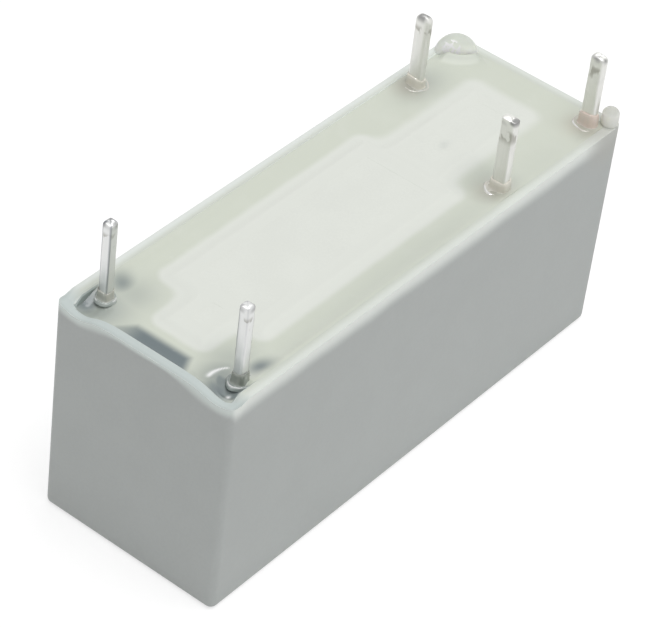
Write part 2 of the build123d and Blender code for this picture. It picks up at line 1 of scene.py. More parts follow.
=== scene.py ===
"""Looks of a small sealed power relay for circuit boards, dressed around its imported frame.

The relay lies upside down: its matte grey box opens upwards, and the pins stand on a moulded
base whose gutter is filled with clear resin. All lengths are in metres, in the frame's own axes.
"""

import logging
import math
from dataclasses import dataclass
from enum import Enum

import bmesh
import bpy
import numpy as np
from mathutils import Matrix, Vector


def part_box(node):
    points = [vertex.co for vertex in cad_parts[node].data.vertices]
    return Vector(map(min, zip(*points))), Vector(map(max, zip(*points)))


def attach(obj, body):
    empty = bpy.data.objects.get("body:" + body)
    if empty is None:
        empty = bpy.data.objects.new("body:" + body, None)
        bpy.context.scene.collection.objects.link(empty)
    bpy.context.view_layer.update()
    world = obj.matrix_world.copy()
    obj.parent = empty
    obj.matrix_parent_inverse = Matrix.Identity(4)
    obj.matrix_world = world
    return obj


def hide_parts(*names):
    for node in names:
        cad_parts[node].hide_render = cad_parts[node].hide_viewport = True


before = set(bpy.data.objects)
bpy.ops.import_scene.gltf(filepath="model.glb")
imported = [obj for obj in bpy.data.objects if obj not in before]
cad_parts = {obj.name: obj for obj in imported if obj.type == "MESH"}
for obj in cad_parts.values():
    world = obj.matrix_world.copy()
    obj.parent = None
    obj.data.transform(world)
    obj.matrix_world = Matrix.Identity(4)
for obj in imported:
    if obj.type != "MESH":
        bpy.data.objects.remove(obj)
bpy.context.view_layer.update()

log = logging.getLogger("relay")

MM = 0.001

Pair = tuple[float, float]
Triple = tuple[float, float, float]
Colour = tuple[float, float, float, float]
Socket = bpy.types.NodeSocket
Value = float | Socket
Obj = bpy.types.Object

WHITE: Colour = (1.0, 1.0, 1.0, 1.0)

# points closer than the first are welded, and edges that turn more than the second stay sharp
WELD = 0.0005 * MM
SHARP_DEG = 40


# Sizes that pieces and finishes share


@dataclass(frozen=True)
class BoxForm:
    """The box's own sizes, with its middle over the origin."""

    half_length: float = 14.25 * MM
    half_width: float = 5.0 * MM
    wall: float = 0.6 * MM
    rim: float = 12.0 * MM

    def cavity(self) -> Pair:
        """Half the length and width inside the walls."""
        return self.half_length - self.wall, self.half_width - self.wall


BOX = BoxForm()


# Colours and numbers


def srgb(red: int, green: int, blue: int) -> Colour:
    """Turns a colour as seen on a screen into the linear one that shaders use.

    Args:
        red: Red, 0 to 255.
        green: Green, 0 to 255.
        blue: Blue, 0 to 255.

    Returns:
        The linear colour with an alpha of 1.
    """
    shown = np.array([red, green, blue]) / 255.0
    linear = np.where(shown <= 0.04045, shown / 12.92, ((shown + 0.055) / 1.055) ** 2.4)
    return (float(linear[0]), float(linear[1]), float(linear[2]), 1.0)


def soft_step(low: float | np.ndarray, high: float | np.ndarray, value: np.ndarray) -> np.ndarray:
    """Rises smoothly from 0 at low to 1 at high: 3t^2 - 2t^3.

    Args:
        low: Where the step starts.
        high: Where it ends.
        value: The values to place on it.

    Returns:
        The step at each value.
    """
    t = np.clip((value - low) / (high - low), 0.0, 1.0)
    return t * t * (3.0 - 2.0 * t)


def hill(x: np.ndarray, y: np.ndarray, centre: Pair, reach: Pair) -> np.ndarray:
    """A smooth hill exp(-(dx/a)^2 - (dy/b)^2) in the plan.

    Args:
        x: Plan places along the box.
        y: Plan places across it.
        centre: The hill's middle.
        reach: How far it spreads along and across.

    Returns:
        Its height, 1 in the middle.
    """
    return np.exp(-(((x - centre[0]) / reach[0]) ** 2) - ((y - centre[1]) / reach[1]) ** 2)


def ripple(x: np.ndarray, y: np.ndarray, wave: float, seed: float) -> np.ndarray:
    """A slow irregular swell, the sum of a few sines in turned directions.

    Args:
        x: Plan places along the box.
        y: Plan places across it.
        wave: The longest wave length.
        seed: Shifts the pattern.

    Returns:
        A value between about -1 and 1.
    """
    total = np.zeros_like(x)
    for k in range(1, 5):
        turn = seed + 2.4 * k
        along = x * math.cos(turn) + y * math.sin(turn)
        total += np.sin(2 * math.pi * along * k**0.7 / wave + seed * k) / (k + 1)
    return total


def rounded_box(
    x: np.ndarray, y: np.ndarray, low: Pair, high: Pair, radius: float
) -> np.ndarray:
    """Signed distance to a rectangle with round corners, negative inside.

    Args:
        x: Plan places along the box.
        y: Plan places across it.
        low: The rectangle's lowest corner.
        high: Its highest corner.
        radius: Its corner radius.

    Returns:
        |max(q, 0)| + min(max(qx, qy), 0) - radius, with q = |p - centre| - half + radius.
    """
    qx = np.abs(x - (low[0] + high[0]) / 2) - (high[0] - low[0]) / 2 + radius
    qy = np.abs(y - (low[1] + high[1]) / 2) - (high[1] - low[1]) / 2 + radius
    outside = np.hypot(np.maximum(qx, 0), np.maximum(qy, 0))
    return outside + np.minimum(np.maximum(qx, qy), 0) - radius


# Meshes from grids


def grid_quads(rows: int, columns: int, closed: bool = False) -> np.ndarray:
    """Corner numbers of the quads of a grid of points.

    Args:
        rows: Rows of points.
        columns: Points in a row.
        closed: Whether each row joins up with its own start.

    Returns:
        One row of four point numbers for each quad.
    """
    row, column = np.meshgrid(np.arange(rows - 1), np.arange(columns - (not closed)), indexing="ij")
    right = (column + 1) % columns
    here = row * columns
    above = here + columns
    return np.stack([here + column, here + right, above + right, above + column], axis=-1).reshape(-1, 4)


def mesh_points(mesh: bpy.types.Mesh) -> np.ndarray:
    """Reads the places of a mesh's points.

    Args:
        mesh: The mesh.

    Returns:
        One row of three for each point.
    """
    points = np.empty(len(mesh.vertices) * 3, dtype=np.float32)
    mesh.vertices.foreach_get("co", points)
    return points.reshape(-1, 3)


def mesh_object(
    name: str, points: np.ndarray, faces: list[list[int]], layers: dict[str, np.ndarray] | None = None
) -> Obj:
    """Makes a smooth-shaded object from points and faces.

    Args:
        name: The piece's name.
        points: The places of its points.
        faces: Point numbers of each face.
        layers: Named values at the points that its material reads.

    Returns:
        The new object, at the origin.
    """
    mesh = bpy.data.meshes.new(name)
    mesh.from_pydata(points.reshape(-1, 3).tolist(), [], faces)
    for layer, values in (layers or {}).items():
        attribute = mesh.attributes.new(layer, "FLOAT", "POINT")
        attribute.data.foreach_set("value", values.astype(np.float32).ravel())
    mesh.polygons.foreach_set("use_smooth", np.ones(len(mesh.polygons), dtype=bool))
    made = bpy.data.objects.new(name, mesh)
    bpy.context.scene.collection.objects.link(made)
    return made


def tidy_mesh(bm: bmesh.types.BMesh, made: Obj) -> None:
    """Welds a mesh, turns its faces outwards, writes it and keeps its edges crisp.

    Args:
        bm: The mesh being edited. It is freed.
        made: The object that gets it.
    """
    bmesh.ops.remove_doubles(bm, verts=bm.verts, dist=WELD)
    bmesh.ops.recalc_face_normals(bm, faces=bm.faces)
    bm.to_mesh(made.data)
    bm.free()
    if "custom_normal" in made.data.attributes:
        made.data.attributes.remove(made.data.attributes["custom_normal"])
    made.data.polygons.foreach_set("use_smooth", np.ones(len(made.data.polygons), dtype=bool))
    made.data.set_sharp_from_angle(angle=math.radians(SHARP_DEG))


def keep_below(bm: bmesh.types.BMesh, height: float) -> None:
    """Cuts a mesh level and keeps what is under the cut, closed by a flat face.

    Args:
        bm: The mesh being edited.
        height: Where it is cut.
    """
    everything = bm.verts[:] + bm.edges[:] + bm.faces[:]
    cut = bmesh.ops.bisect_plane(
        bm, geom=everything, dist=1e-7, plane_co=(0, 0, height), plane_no=(0, 0, 1), clear_outer=True
    )
    rim = [e for e in cut["geom_cut"] if isinstance(e, bmesh.types.BMEdge)]
    bmesh.ops.edgeloop_fill(bm, edges=rim)


def add_lower_part(bm: bmesh.types.BMesh, node: str, height: float) -> None:
    """Adds what one of the frame's solids has under a level cut.

    Args:
        bm: The mesh being edited.
        node: The frame's node.
        height: Where it is cut.
    """
    lower = bmesh.new()
    lower.from_mesh(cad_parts[node].data)
    keep_below(lower, height)
    spare = bpy.data.meshes.new("lower_part")
    lower.to_mesh(spare)
    lower.free()
    bm.from_mesh(spare)
    bpy.data.meshes.remove(spare)


def cut_mesh(bm: bmesh.types.BMesh, place: Triple, facing: Triple, within: float = math.inf) -> None:
    """Adds edges where a plane crosses a mesh.

    Args:
        bm: The mesh being edited.
        place: A point of the plane.
        facing: Its normal.
        within: Only faces whose middle has a smaller x are cut.
    """
    faces = [f for f in bm.faces if f.calc_center_bounds().x < within]
    edges = {e for f in faces for e in f.edges}
    verts = {v for f in faces for v in f.verts}
    bmesh.ops.bisect_plane(bm, geom=[*verts, *edges, *faces], dist=1e-8, plane_co=place, plane_no=facing)


# Shader nodes


class Graph:
    """A node tree being written, with short calls that add nodes and join them."""

    def __init__(self, tree: bpy.types.NodeTree) -> None:
        """Starts writing a tree.

        Args:
            tree: The tree that gets the nodes.
        """
        self.tree = tree

    def add(self, kind: str, inputs: dict | None = None, **settings: object) -> bpy.types.Node:
        """Adds a node.

        Args:
            kind: The node's type name.
            inputs: A value or a socket for each named input.
            **settings: The node's own properties.

        Returns:
            The new node.
        """
        node = self.tree.nodes.new(kind)
        for key, value in settings.items():
            setattr(node, key, value)
        for key, value in (inputs or {}).items():
            self.feed(node.inputs[key], value)
        return node

    def feed(self, socket: Socket, value: Value | Triple | Colour) -> None:
        """Links a socket to another, or sets its own value.

        Args:
            socket: The input.
            value: An output socket, a number, a place or a colour.
        """
        if isinstance(value, bpy.types.NodeSocket):
            self.tree.links.new(value, socket)
        else:
            socket.default_value = value

    def math(self, operation: str, first: Value, second: Value = 0.0, clamp: bool = False) -> Socket:
        """Adds arithmetic on two values.

        Args:
            operation: The Math node's operation.
            first: A number or a socket.
            second: A number or a socket.
            clamp: Whether the result stays between 0 and 1.

        Returns:
            The result.
        """
        node = self.add("ShaderNodeMath", {0: first, 1: second}, operation=operation, use_clamp=clamp)
        return node.outputs[0]

    def times(self, first: Value, second: Value) -> Socket:
        """Multiplies two values."""
        return self.math("MULTIPLY", first, second)

    def less(self, first: Value, second: Value) -> Socket:
        """Takes the second value from the first."""
        return self.math("SUBTRACT", first, second)

    def split(self, place: Socket) -> bpy.types.NodeOutputs:
        """Gives the three numbers of a place or a direction."""
        return self.add("ShaderNodeSeparateXYZ", {0: place}).outputs

    def apart(self, place: Socket, point: Triple) -> Socket:
        """Measures how far a place is from a fixed point."""
        return self.add("ShaderNodeVectorMath", {0: place, 1: point}, operation="DISTANCE").outputs["Value"]

    def mix(self, factor: Value, first: Colour | Socket, second: Colour | Socket) -> Socket:
        """Mixes two colours through the colour sockets of a Mix node.

        Args:
            factor: How much of the second.
            first: A colour or a socket.
            second: A colour or a socket.

        Returns:
            The mixed colour.
        """
        node = self.add("ShaderNodeMix", {0: factor}, data_type="RGBA")
        colours = [socket for socket in node.inputs if socket.type == "RGBA"]
        self.feed(colours[0], first)
        self.feed(colours[1], second)
        return next(socket for socket in node.outputs if socket.type == "RGBA")

    def span(self, value: Socket, low: float, high: float, start: float = 0.0, end: float = 1.0) -> Socket:
        """Maps a value smoothly from one range to another.

        Args:
            value: What is mapped.
            low: The start of its range.
            high: The end of its range.
            start: What low becomes.
            end: What high becomes.

        Returns:
            The mapped value.
        """
        node = self.add(
            "ShaderNodeMapRange",
            {0: value, 1: low, 2: high, 3: start, 4: end},
            interpolation_type="SMOOTHSTEP",
        )
        return node.outputs[0]

    def noise(
        self, place: Socket, size: float, detail: float = 3.0, stretch: Triple = (1.0, 1.0, 1.0)
    ) -> Socket:
        """Adds a noise pattern with spots of a real size.

        Args:
            place: The coordinates.
            size: How wide its spots are, in metres.
            detail: How many finer layers it has.
            stretch: Its scale along each axis.

        Returns:
            The pattern's value, 0 to 1.
        """
        where = self.add("ShaderNodeMapping", {"Vector": place, "Scale": stretch}).outputs[0]
        node = self.add("ShaderNodeTexNoise", {"Vector": where, "Scale": 1 / size, "Detail": detail})
        return node.outputs[0]

    def place(self) -> Socket:
        """Gives the coordinates that move with the object.

        Returns:
            The object coordinates, in metres.
        """
        return self.add("ShaderNodeTexCoord").outputs["Object"]

    def layer(self, name: str) -> Socket:
        """Reads a named value that the mesh holds at its points.

        Args:
            name: The value's name.

        Returns:
            The value.
        """
        return self.add("ShaderNodeAttribute", attribute_name=name).outputs["Fac"]

    def clouded_depth(self, place: Socket, size: float, share: float) -> Socket:
        """Gives the mesh's depth with clouds that stay off the bare plateau.

        Args:
            place: The coordinates.
            size: How wide the clouds are.
            share: How strong they are.

        Returns:
            The depth, 0 to 1.
        """
        depth = self.layer("depth")
        swell = self.times(self.less(self.noise(place, size), 0.5), share)
        return self.math("ADD", depth, self.times(swell, self.span(depth, 0.0, 0.35)), clamp=True)


class Effects:
    """Shared shader effects, each one node group that many materials use."""

    def __init__(self) -> None:
        """Makes the three groups."""
        self.grain = self._grain()
        self.edge_wear_and_light = self._edge_wear_and_light()
        self.dust = self._dust()

    @staticmethod
    def _group(name: str, inputs: dict[str, float | None], outputs: list[str]) -> tuple:
        """Makes an empty group with its sockets.

        Args:
            name: The group's name.
            inputs: Each input with its usual value, or None for coordinates.
            outputs: The names of its outputs.

        Returns:
            The group, its graph, its input node and its output node.
        """
        tree = bpy.data.node_groups.new(name, "ShaderNodeTree")
        for key, usual in inputs.items():
            kind = "NodeSocketVector" if usual is None else "NodeSocketFloat"
            socket = tree.interface.new_socket(key, in_out="INPUT", socket_type=kind)
            if usual is not None:
                socket.default_value = usual
        for key in outputs:
            tree.interface.new_socket(key, in_out="OUTPUT", socket_type="NodeSocketFloat")
        graph = Graph(tree)
        return tree, graph, graph.add("NodeGroupInput"), graph.add("NodeGroupOutput")

    def _grain(self) -> bpy.types.NodeTree:
        """Fine moulded grain over slow swells of about 2.4 mm, both from object coordinates.

        Returns:
            The group, with a height and a mottle.
        """
        inputs = {"Place": None, "Scale": 9000.0}
        tree, graph, given, out = self._group("fine_grain", inputs, ["Height", "Mottle"])
        place, scale = given.outputs[:2]
        fine = graph.add("ShaderNodeTexNoise", {"Vector": place, "Scale": scale, "Detail": 4.0}).outputs[0]
        slow = graph.add("ShaderNodeTexNoise", {"Vector": place, "Scale": 420.0, "Detail": 2.0}).outputs[0]
        graph.feed(out.inputs["Height"], graph.math("ADD", fine, graph.times(slow, 0.6)))
        graph.feed(out.inputs["Mottle"], graph.times(graph.math("ADD", fine, slow), 0.5))
        return tree

    def _edge_wear_and_light(self) -> bpy.types.NodeTree:
        """A broken mask along edges, where a bevelled normal leaves the true one.

        Returns:
            The group, with its mask.
        """
        inputs = {"Place": None, "Width": 0.12 * MM}
        tree, graph, given, out = self._group("edge_wear_and_light_mask", inputs, ["Mask"])
        bevel = graph.add("ShaderNodeBevel", {"Radius": given.outputs[1]}, samples=4).outputs[0]
        true = graph.add("ShaderNodeNewGeometry").outputs["Normal"]
        dot = graph.add("ShaderNodeVectorMath", {0: bevel, 1: true}, operation="DOT_PRODUCT").outputs["Value"]
        broken = graph.span(graph.noise(given.outputs[0], 0.35 * MM), 0.35, 0.6, 0.35, 1.0)
        edge = graph.span(graph.less(1.0, dot), 0.02, 0.2)
        graph.feed(out.inputs["Mask"], graph.times(edge, broken))
        return tree

    def _dust(self) -> bpy.types.NodeTree:
        """Sparse specks that lie on the surface, in the middle of some cells 1.1 mm wide.

        Returns:
            The group, with its mask.
        """
        inputs = {"Place": None, "Amount": 0.5}
        tree, graph, given, out = self._group("dust_specks", inputs, ["Mask"])
        place, amount = given.outputs[:2]
        cells = graph.add("ShaderNodeTexVoronoi", {"Vector": place, "Scale": 900.0})
        speck = graph.span(cells.outputs["Distance"], 0.05, 0.13, 1.0, 0.0)
        chosen = graph.span(graph.noise(place, 1.1 * MM), 0.55, 0.7)
        graph.feed(out.inputs["Mask"], graph.times(graph.times(speck, chosen), amount))
        return tree


EFFECTS = Effects()


# Finishes


@dataclass(frozen=True)
class Finish:
    """What all finishes share."""

    name: str
    colour: Colour
    roughness: float

    def material(self) -> bpy.types.Material:
        """Makes the material, once for each name.

        Returns:
            The material.
        """
        name = f"{self.name}_finish"
        found = bpy.data.materials.get(name)
        if found is not None:
            return found
        made = bpy.data.materials.new(name)
        made.use_nodes = True
        made.node_tree.nodes.clear()
        graph = Graph(made.node_tree)
        shader = graph.add("ShaderNodeBsdfPrincipled", {"Roughness": self.roughness})
        graph.add("ShaderNodeOutputMaterial", {"Surface": shader.outputs[0]})
        self.write(graph, shader)
        log.info("finish %s", self.name)
        return made

    def write(self, graph: Graph, shader: bpy.types.Node) -> None:
        """Writes the finish's own nodes.

        Args:
            graph: The material's graph.
            shader: Its main shader.
        """
        raise NotImplementedError

    def bump(self, graph: Graph, shader: bpy.types.Node, height: Socket, depth: float) -> None:
        """Adds fine relief to a shader.

        Args:
            graph: The material's graph.
            shader: Its main shader.
            height: The relief, 0 to 1.
            depth: How deep it is, in metres.
        """
        node = graph.add("ShaderNodeBump", {"Height": height, "Distance": depth, "Strength": 1.0})
        graph.feed(shader.inputs["Normal"], node.outputs[0])


@dataclass(frozen=True)
class MouldedPlastic(Finish):
    """Injection-moulded plastic with an eroded grain, slow colour drift and lighter edges: rubbed on most
    parts, a painted highlight on the box.
    """

    grain_size: float = 0.11 * MM
    grain_depth: float = 0.004 * MM
    drift: float = 0.04
    rough_drift: float = 0.06
    sheen_level: float = 0.3
    edge_wear_and_highlight_colour: Colour = (0.85, 0.85, 0.83, 1.0)
    edge_wear_and_light_share: float = 0.25

    def write(self, graph: Graph, shader: bpy.types.Node) -> None:
        """Writes grain, drift and lighter edges, which on the box are a painted highlight.

        Args:
            graph: The material's graph.
            shader: Its main shader.
        """
        place = graph.place()
        grain = graph.add("ShaderNodeGroup", {}, node_tree=EFFECTS.grain)
        graph.feed(grain.inputs["Place"], place)
        graph.feed(grain.inputs["Scale"], 1 / self.grain_size)
        edge_wear_and_light = graph.add("ShaderNodeGroup", {}, node_tree=EFFECTS.edge_wear_and_light)
        graph.feed(edge_wear_and_light.inputs["Place"], place)
        dark = tuple(c * (1 - self.drift) for c in self.colour[:3]) + (1.0,)
        light = tuple(min(1.0, c * (1 + self.drift)) for c in self.colour[:3]) + (1.0,)
        mottled = graph.mix(graph.span(grain.outputs["Mottle"], 0.35, 0.65), dark, light)
        tinted = self.tint(graph, place, mottled)
        # lighter edges: rubbed plastic on most parts, a painted highlight on the box
        worn_and_lit = graph.mix(graph.times(edge_wear_and_light.outputs[0], self.edge_wear_and_light_share), tinted, self.edge_wear_and_highlight_colour)
        graph.feed(shader.inputs["Base Color"], worn_and_lit)
        shader.inputs["Specular IOR Level"].default_value = self.sheen_level
        smooth = self.roughness - self.rough_drift
        dull = self.roughness + self.rough_drift
        rough = graph.span(grain.outputs["Height"], 0.3, 1.2, smooth, dull)
        graph.feed(shader.inputs["Roughness"], rough)
        self.bump(graph, shader, grain.outputs["Height"], self.grain_depth)

    def tint(self, graph: Graph, place: Socket, colour: Socket) -> Socket:
        """Changes the plastic's colour where a kind of it calls for that.

        Args:
            graph: The material's graph.
            place: Object coordinates.
            colour: The colour so far.

        Returns:
            The colour to use.
        """
        return colour


@dataclass(frozen=True)
class BoxPlaces:
    """Where a point of the box lies and how it faces, as sockets that the cover's blends share."""

    place: Socket
    along: Socket
    across: Socket
    off_middle: Socket
    up: Socket
    level: Socket
    flat: Socket


@dataclass(frozen=True)
class CoverPlastic(MouldedPlastic):
    """The box's plastic: painted light makes it paler along its rim and in its standoffs, which also look
    clearer from light scattered inside.
    """

    rim_colour: Colour = WHITE
    inner_rim_colour: Colour = WHITE
    end_rim_colour: Colour = WHITE
    far_rim_colour: Colour = WHITE
    painted_glow_colour: Colour = WHITE
    painted_end_glow_colour: Colour = WHITE
    painted_inner_shade_colour: Colour = WHITE
    standoff_colour: Colour = WHITE
    standoff_painted_light_colour: Colour = WHITE
    slim_colour: Colour = WHITE
    slim_painted_light_colour: Colour = WHITE
    slim_place: Triple = (13.6 * MM, -4.8 * MM, 12.0 * MM)
    sparkle_place: Triple = (12.5 * MM, 3.95 * MM, 12.47 * MM)
    sparkle_scale: float = 3600.0
    band: float = 1.05 * MM
    end_band: Pair = (0.28 * MM, 0.72 * MM)
    end_band_grows: Pair = (1.2 * MM, 3.6 * MM)
    swell: float = 0.4 * MM
    swell_size: float = 3.5 * MM
    seam: float = 0.05 * MM
    end_glow_edge: float = 0.3 * MM
    far_side_edge: float = 0.4 * MM
    inner_rim_edge: Pair = (0.12 * MM, 0.45 * MM)
    end_rim_edge: Pair = (0.5 * MM, 1.4 * MM)
    edge_line: Pair = (0.25 * MM, 0.45)
    top_edge: Pair = (0.5 * MM, 0.2 * MM)
    inner_end_edge: Pair = (-12.6 * MM, -11.6 * MM)

    def tint(self, graph: Graph, place: Socket, colour: Socket) -> Socket:
        """Blends painted light and shade over the grey plastic, in this order: the glow under the rim, the
        rim's top, the shaded inner end, the standoffs and their painted highlights.

        Heights count from where the rim was before it sank, so that the bands follow the dips.

        Args:
            graph: The material's graph.
            place: Object coordinates.
            colour: The grey plastic.

        Returns:
            The blended colour.
        """
        along, across, up = graph.split(place)
        level = graph.split(graph.add("ShaderNodeNewGeometry").outputs["Normal"])[2]
        at = BoxPlaces(
            place=place,
            along=along,
            across=across,
            off_middle=graph.math("ABSOLUTE", across),
            up=graph.math("ADD", up, graph.layer("sunk")),
            level=level,
            flat=graph.span(level, 0.5, 0.9),
        )
        for blend in (self.glow, self.rim_top, self.inner_end, self.standoffs, self.painted_sparkles):
            colour = blend(graph, at, colour)
        return colour

    def glow(self, graph: Graph, at: BoxPlaces, colour: Socket) -> Socket:
        """Paints the soft pale band under the rim: painted light, standing in for light that passes through
        the thin wall.

        It is as tall as the long sides show. On the end by the coil pins it is lower, and grows
        from the middle towards both corners.

        Args:
            graph: The material's graph.
            at: Where the point lies.
            colour: The colour so far.

        Returns:
            The blended colour.
        """
        slow = graph.noise(at.place, self.swell_size, 1.0)
        swell = graph.times(graph.less(slow, 0.5), self.swell)
        end = -BOX.half_length
        on_end = graph.span(at.along, end + self.seam, end + self.end_glow_edge, 1.0, 0.0)
        end_height = graph.span(at.off_middle, *self.end_band_grows, *self.end_band)
        lower = graph.times(on_end, graph.less(end_height, self.band))
        height = graph.math("ADD", lower, graph.math("ADD", swell, self.band))
        below_rim = graph.math("DIVIDE", graph.less(BOX.rim, at.up), height)
        pale = graph.times(graph.span(below_rim, 1.0, 0.08), graph.less(1.0, at.flat))
        # painted light: the pale band under the rim
        return graph.mix(pale, colour, graph.mix(on_end, self.painted_glow_colour, self.painted_end_glow_colour))

    def rim_top(self, graph: Graph, at: BoxPlaces, colour: Socket) -> Socket:
        """Colours the rim's top with painted light, pale outside and calmer inside, and bluish at the coil
        end, where painted shade darkens it.

        Args:
            graph: The material's graph.
            at: Where the point lies.
            colour: The colour so far.

        Returns:
            The blended colour.
        """
        inner_side = BOX.cavity()[1]
        far_side = graph.span(at.across, inner_side - self.far_side_edge, inner_side)
        to_end = graph.less(BOX.half_length, graph.math("ABSOLUTE", at.along))
        to_side = graph.less(BOX.half_width, at.off_middle)
        to_edge = graph.math("MINIMUM", to_end, to_side)
        outer_rim = graph.mix(far_side, self.rim_colour, self.far_rim_colour)
        side_rim = graph.mix(graph.span(to_edge, *self.inner_rim_edge), outer_rim, self.inner_rim_colour)
        past_end = graph.span(at.along, *(edge - BOX.half_length for edge in self.end_rim_edge))
        top_colour = graph.mix(past_end, self.end_rim_colour, side_rim)
        # painted shade on the rim at the coil end
        line = graph.span(to_edge, 0.0, *self.edge_line, 0.0)
        lined = graph.mix(graph.times(line, graph.less(1.0, past_end)), top_colour, self.painted_inner_shade_colour)
        at_top = graph.span(at.up, *(BOX.rim - edge for edge in self.top_edge))
        return graph.mix(graph.times(at.flat, at_top), colour, lined)

    def inner_end(self, graph: Graph, at: BoxPlaces, colour: Socket) -> Socket:
        """Darkens the inner walls round the coil pins, where the resin lies deep: painted shade.

        Args:
            graph: The material's graph.
            at: Where the point lies.
            colour: The colour so far.

        Returns:
            The blended colour.
        """
        half_length, half_width = BOX.cavity()
        between_ends = graph.math("LESS_THAN", graph.math("ABSOLUTE", at.along), half_length + self.seam)
        between_sides = graph.math("LESS_THAN", at.off_middle, half_width + self.seam)
        by_coil_pins = graph.span(at.along, *self.inner_end_edge, 1.0, 0.0)
        inside = graph.times(between_ends, between_sides)
        return graph.mix(graph.times(inside, by_coil_pins), colour, self.painted_inner_shade_colour)

    def standoffs(self, graph: Graph, at: BoxPlaces, colour: Socket) -> Socket:
        """Colours what rises over the rim, with painted light that brightens its steep sides, and the slim
        foot's corner.

        Args:
            graph: The material's graph.
            at: Where the point lies.
            colour: The colour so far.

        Returns:
            The blended colour.
        """
        by_slim = graph.span(graph.apart(at.place, self.slim_place), 0.6 * MM, 2.8 * MM, 0.85, 0.0)
        toned = graph.mix(by_slim, colour, self.slim_colour)
        # painted light: the steep sides of the standoffs brighter
        steep = graph.span(at.level, 0.9, 0.2)
        wide = graph.mix(steep, self.standoff_colour, self.standoff_painted_light_colour)
        slim = graph.mix(steep, self.slim_colour, self.slim_painted_light_colour)
        on_slim = graph.span(at.across, -3.0 * MM, -4.0 * MM)
        above = graph.span(at.up, BOX.rim, BOX.rim + 0.12 * MM)
        return graph.mix(above, toned, graph.mix(on_slim, wide, slim))

    def painted_sparkles(self, graph: Graph, at: BoxPlaces, colour: Socket) -> Socket:
        """Adds painted highlights to the wide standoff: a few fine white lines in a crack-like web.

        Args:
            graph: The material's graph.
            at: Where the point lies.
            colour: The colour so far.

        Returns:
            The blended colour.
        """
        # painted highlights: white lines in a crack-like web
        pattern = {"Vector": at.place, "Scale": self.sparkle_scale}
        cells = graph.add("ShaderNodeTexVoronoi", pattern, feature="DISTANCE_TO_EDGE")
        broken = graph.span(graph.noise(at.place, 0.26 * MM, 1.0), 0.4, 0.48)
        line = graph.times(graph.span(cells.outputs["Distance"], 0.1, 0.32, 1.0, 0.0), broken)
        near = graph.span(graph.apart(at.place, self.sparkle_place), 0.38 * MM, 0.52 * MM, 1.0, 0.0)
        above = graph.span(at.up, BOX.rim - 0.01 * MM, BOX.rim + 0.02 * MM)
        return graph.mix(graph.times(line, graph.times(near, above)), colour, WHITE)

    def write(self, graph: Graph, shader: bpy.types.Node) -> None:
        """Adds light scattered inside the standoffs to the moulded plastic.

        Args:
            graph: The material's graph.
            shader: Its main shader.
        """
        super().write(graph, shader)
        up = graph.split(graph.place())[2]
        inner_light = graph.span(up, BOX.rim - 0.05 * MM, BOX.rim + 0.15 * MM, 0.0, 0.85)
        graph.feed(shader.inputs["Subsurface Weight"], inner_light)
        shader.inputs["Subsurface Radius"].default_value = (1.0, 1.0, 0.9)
        shader.inputs["Subsurface Scale"].default_value = 0.9 * MM


@dataclass(frozen=True)
class PottedPlastic(MouldedPlastic):
    """The base's plastic: white on its plateau, greenish where resin lies deeper over it."""

    deep_colour: Colour = WHITE
    dark_colour: Colour = WHITE
    cloud_size: float = 0.9 * MM
    cloud_share: float = 0.35

    def tint(self, graph: Graph, place: Socket, colour: Socket) -> Socket:
        """Blends by the depth and the shade that the mesh holds.

        Args:
            graph: The material's graph.
            place: Object coordinates.
            colour: The white plastic.

        Returns:
            The blended colour.
        """
        deep = graph.clouded_depth(place, self.cloud_size, self.cloud_share)
        blended = graph.mix(deep, colour, self.deep_colour)
        return graph.mix(graph.layer("shade"), blended, self.dark_colour)


@dataclass(frozen=True)
class PottingResin(Finish):
    """Cured clear resin over pale plastic: soft greenish depth under a glossy skin."""

    shallow_colour: Colour = WHITE
    dark_colour: Colour = WHITE
    warm_colour: Colour = WHITE
    glint_colour: Colour = WHITE
    cloud_size: float = 1.2 * MM
    cloud_share: float = 0.5
    dust_share: float = 0.4
    film_roughness: float = 0.42
    skin_grain: Pair = (0.3 * MM, 0.0015 * MM)

    def write(self, graph: Graph, shader: bpy.types.Node) -> None:
        """Writes depth, painted shade that is dark in the wells and warm beside the pins, and the glossy
        skin.

        Args:
            graph: The material's graph.
            shader: Its main shader.
        """
        place = graph.place()
        grain = graph.add("ShaderNodeGroup", {}, node_tree=EFFECTS.grain)
        graph.feed(grain.inputs["Place"], place)
        graph.feed(grain.inputs["Scale"], 1 / self.skin_grain[0])
        dust = graph.add("ShaderNodeGroup", {}, node_tree=EFFECTS.dust)
        graph.feed(dust.inputs["Place"], place)
        deep = graph.clouded_depth(place, self.cloud_size, self.cloud_share)
        body = graph.mix(deep, self.shallow_colour, self.colour)
        # painted shade: warm beside the contact pins, then dark in the wells
        warmed = graph.mix(graph.layer("warm"), body, self.warm_colour)
        shaded = graph.mix(graph.layer("shade"), warmed, self.dark_colour)
        speckled = graph.mix(graph.times(dust.outputs[0], self.dust_share), shaded, self.shallow_colour)
        graph.feed(shader.inputs["Base Color"], graph.mix(graph.layer("glint"), speckled, self.glint_colour))
        skin = graph.span(graph.layer("depth"), 0.1, 0.7, self.film_roughness, self.roughness)
        graph.feed(shader.inputs["Roughness"], skin)
        shader.inputs["Specular IOR Level"].default_value = 0.3
        shader.inputs["Coat IOR"].default_value = 1.5
        shader.inputs["Coat Roughness"].default_value = 0.05
        graph.feed(shader.inputs["Coat Weight"], graph.layer("gloss"))
        self.bump(graph, shader, grain.outputs["Height"], self.skin_grain[1])


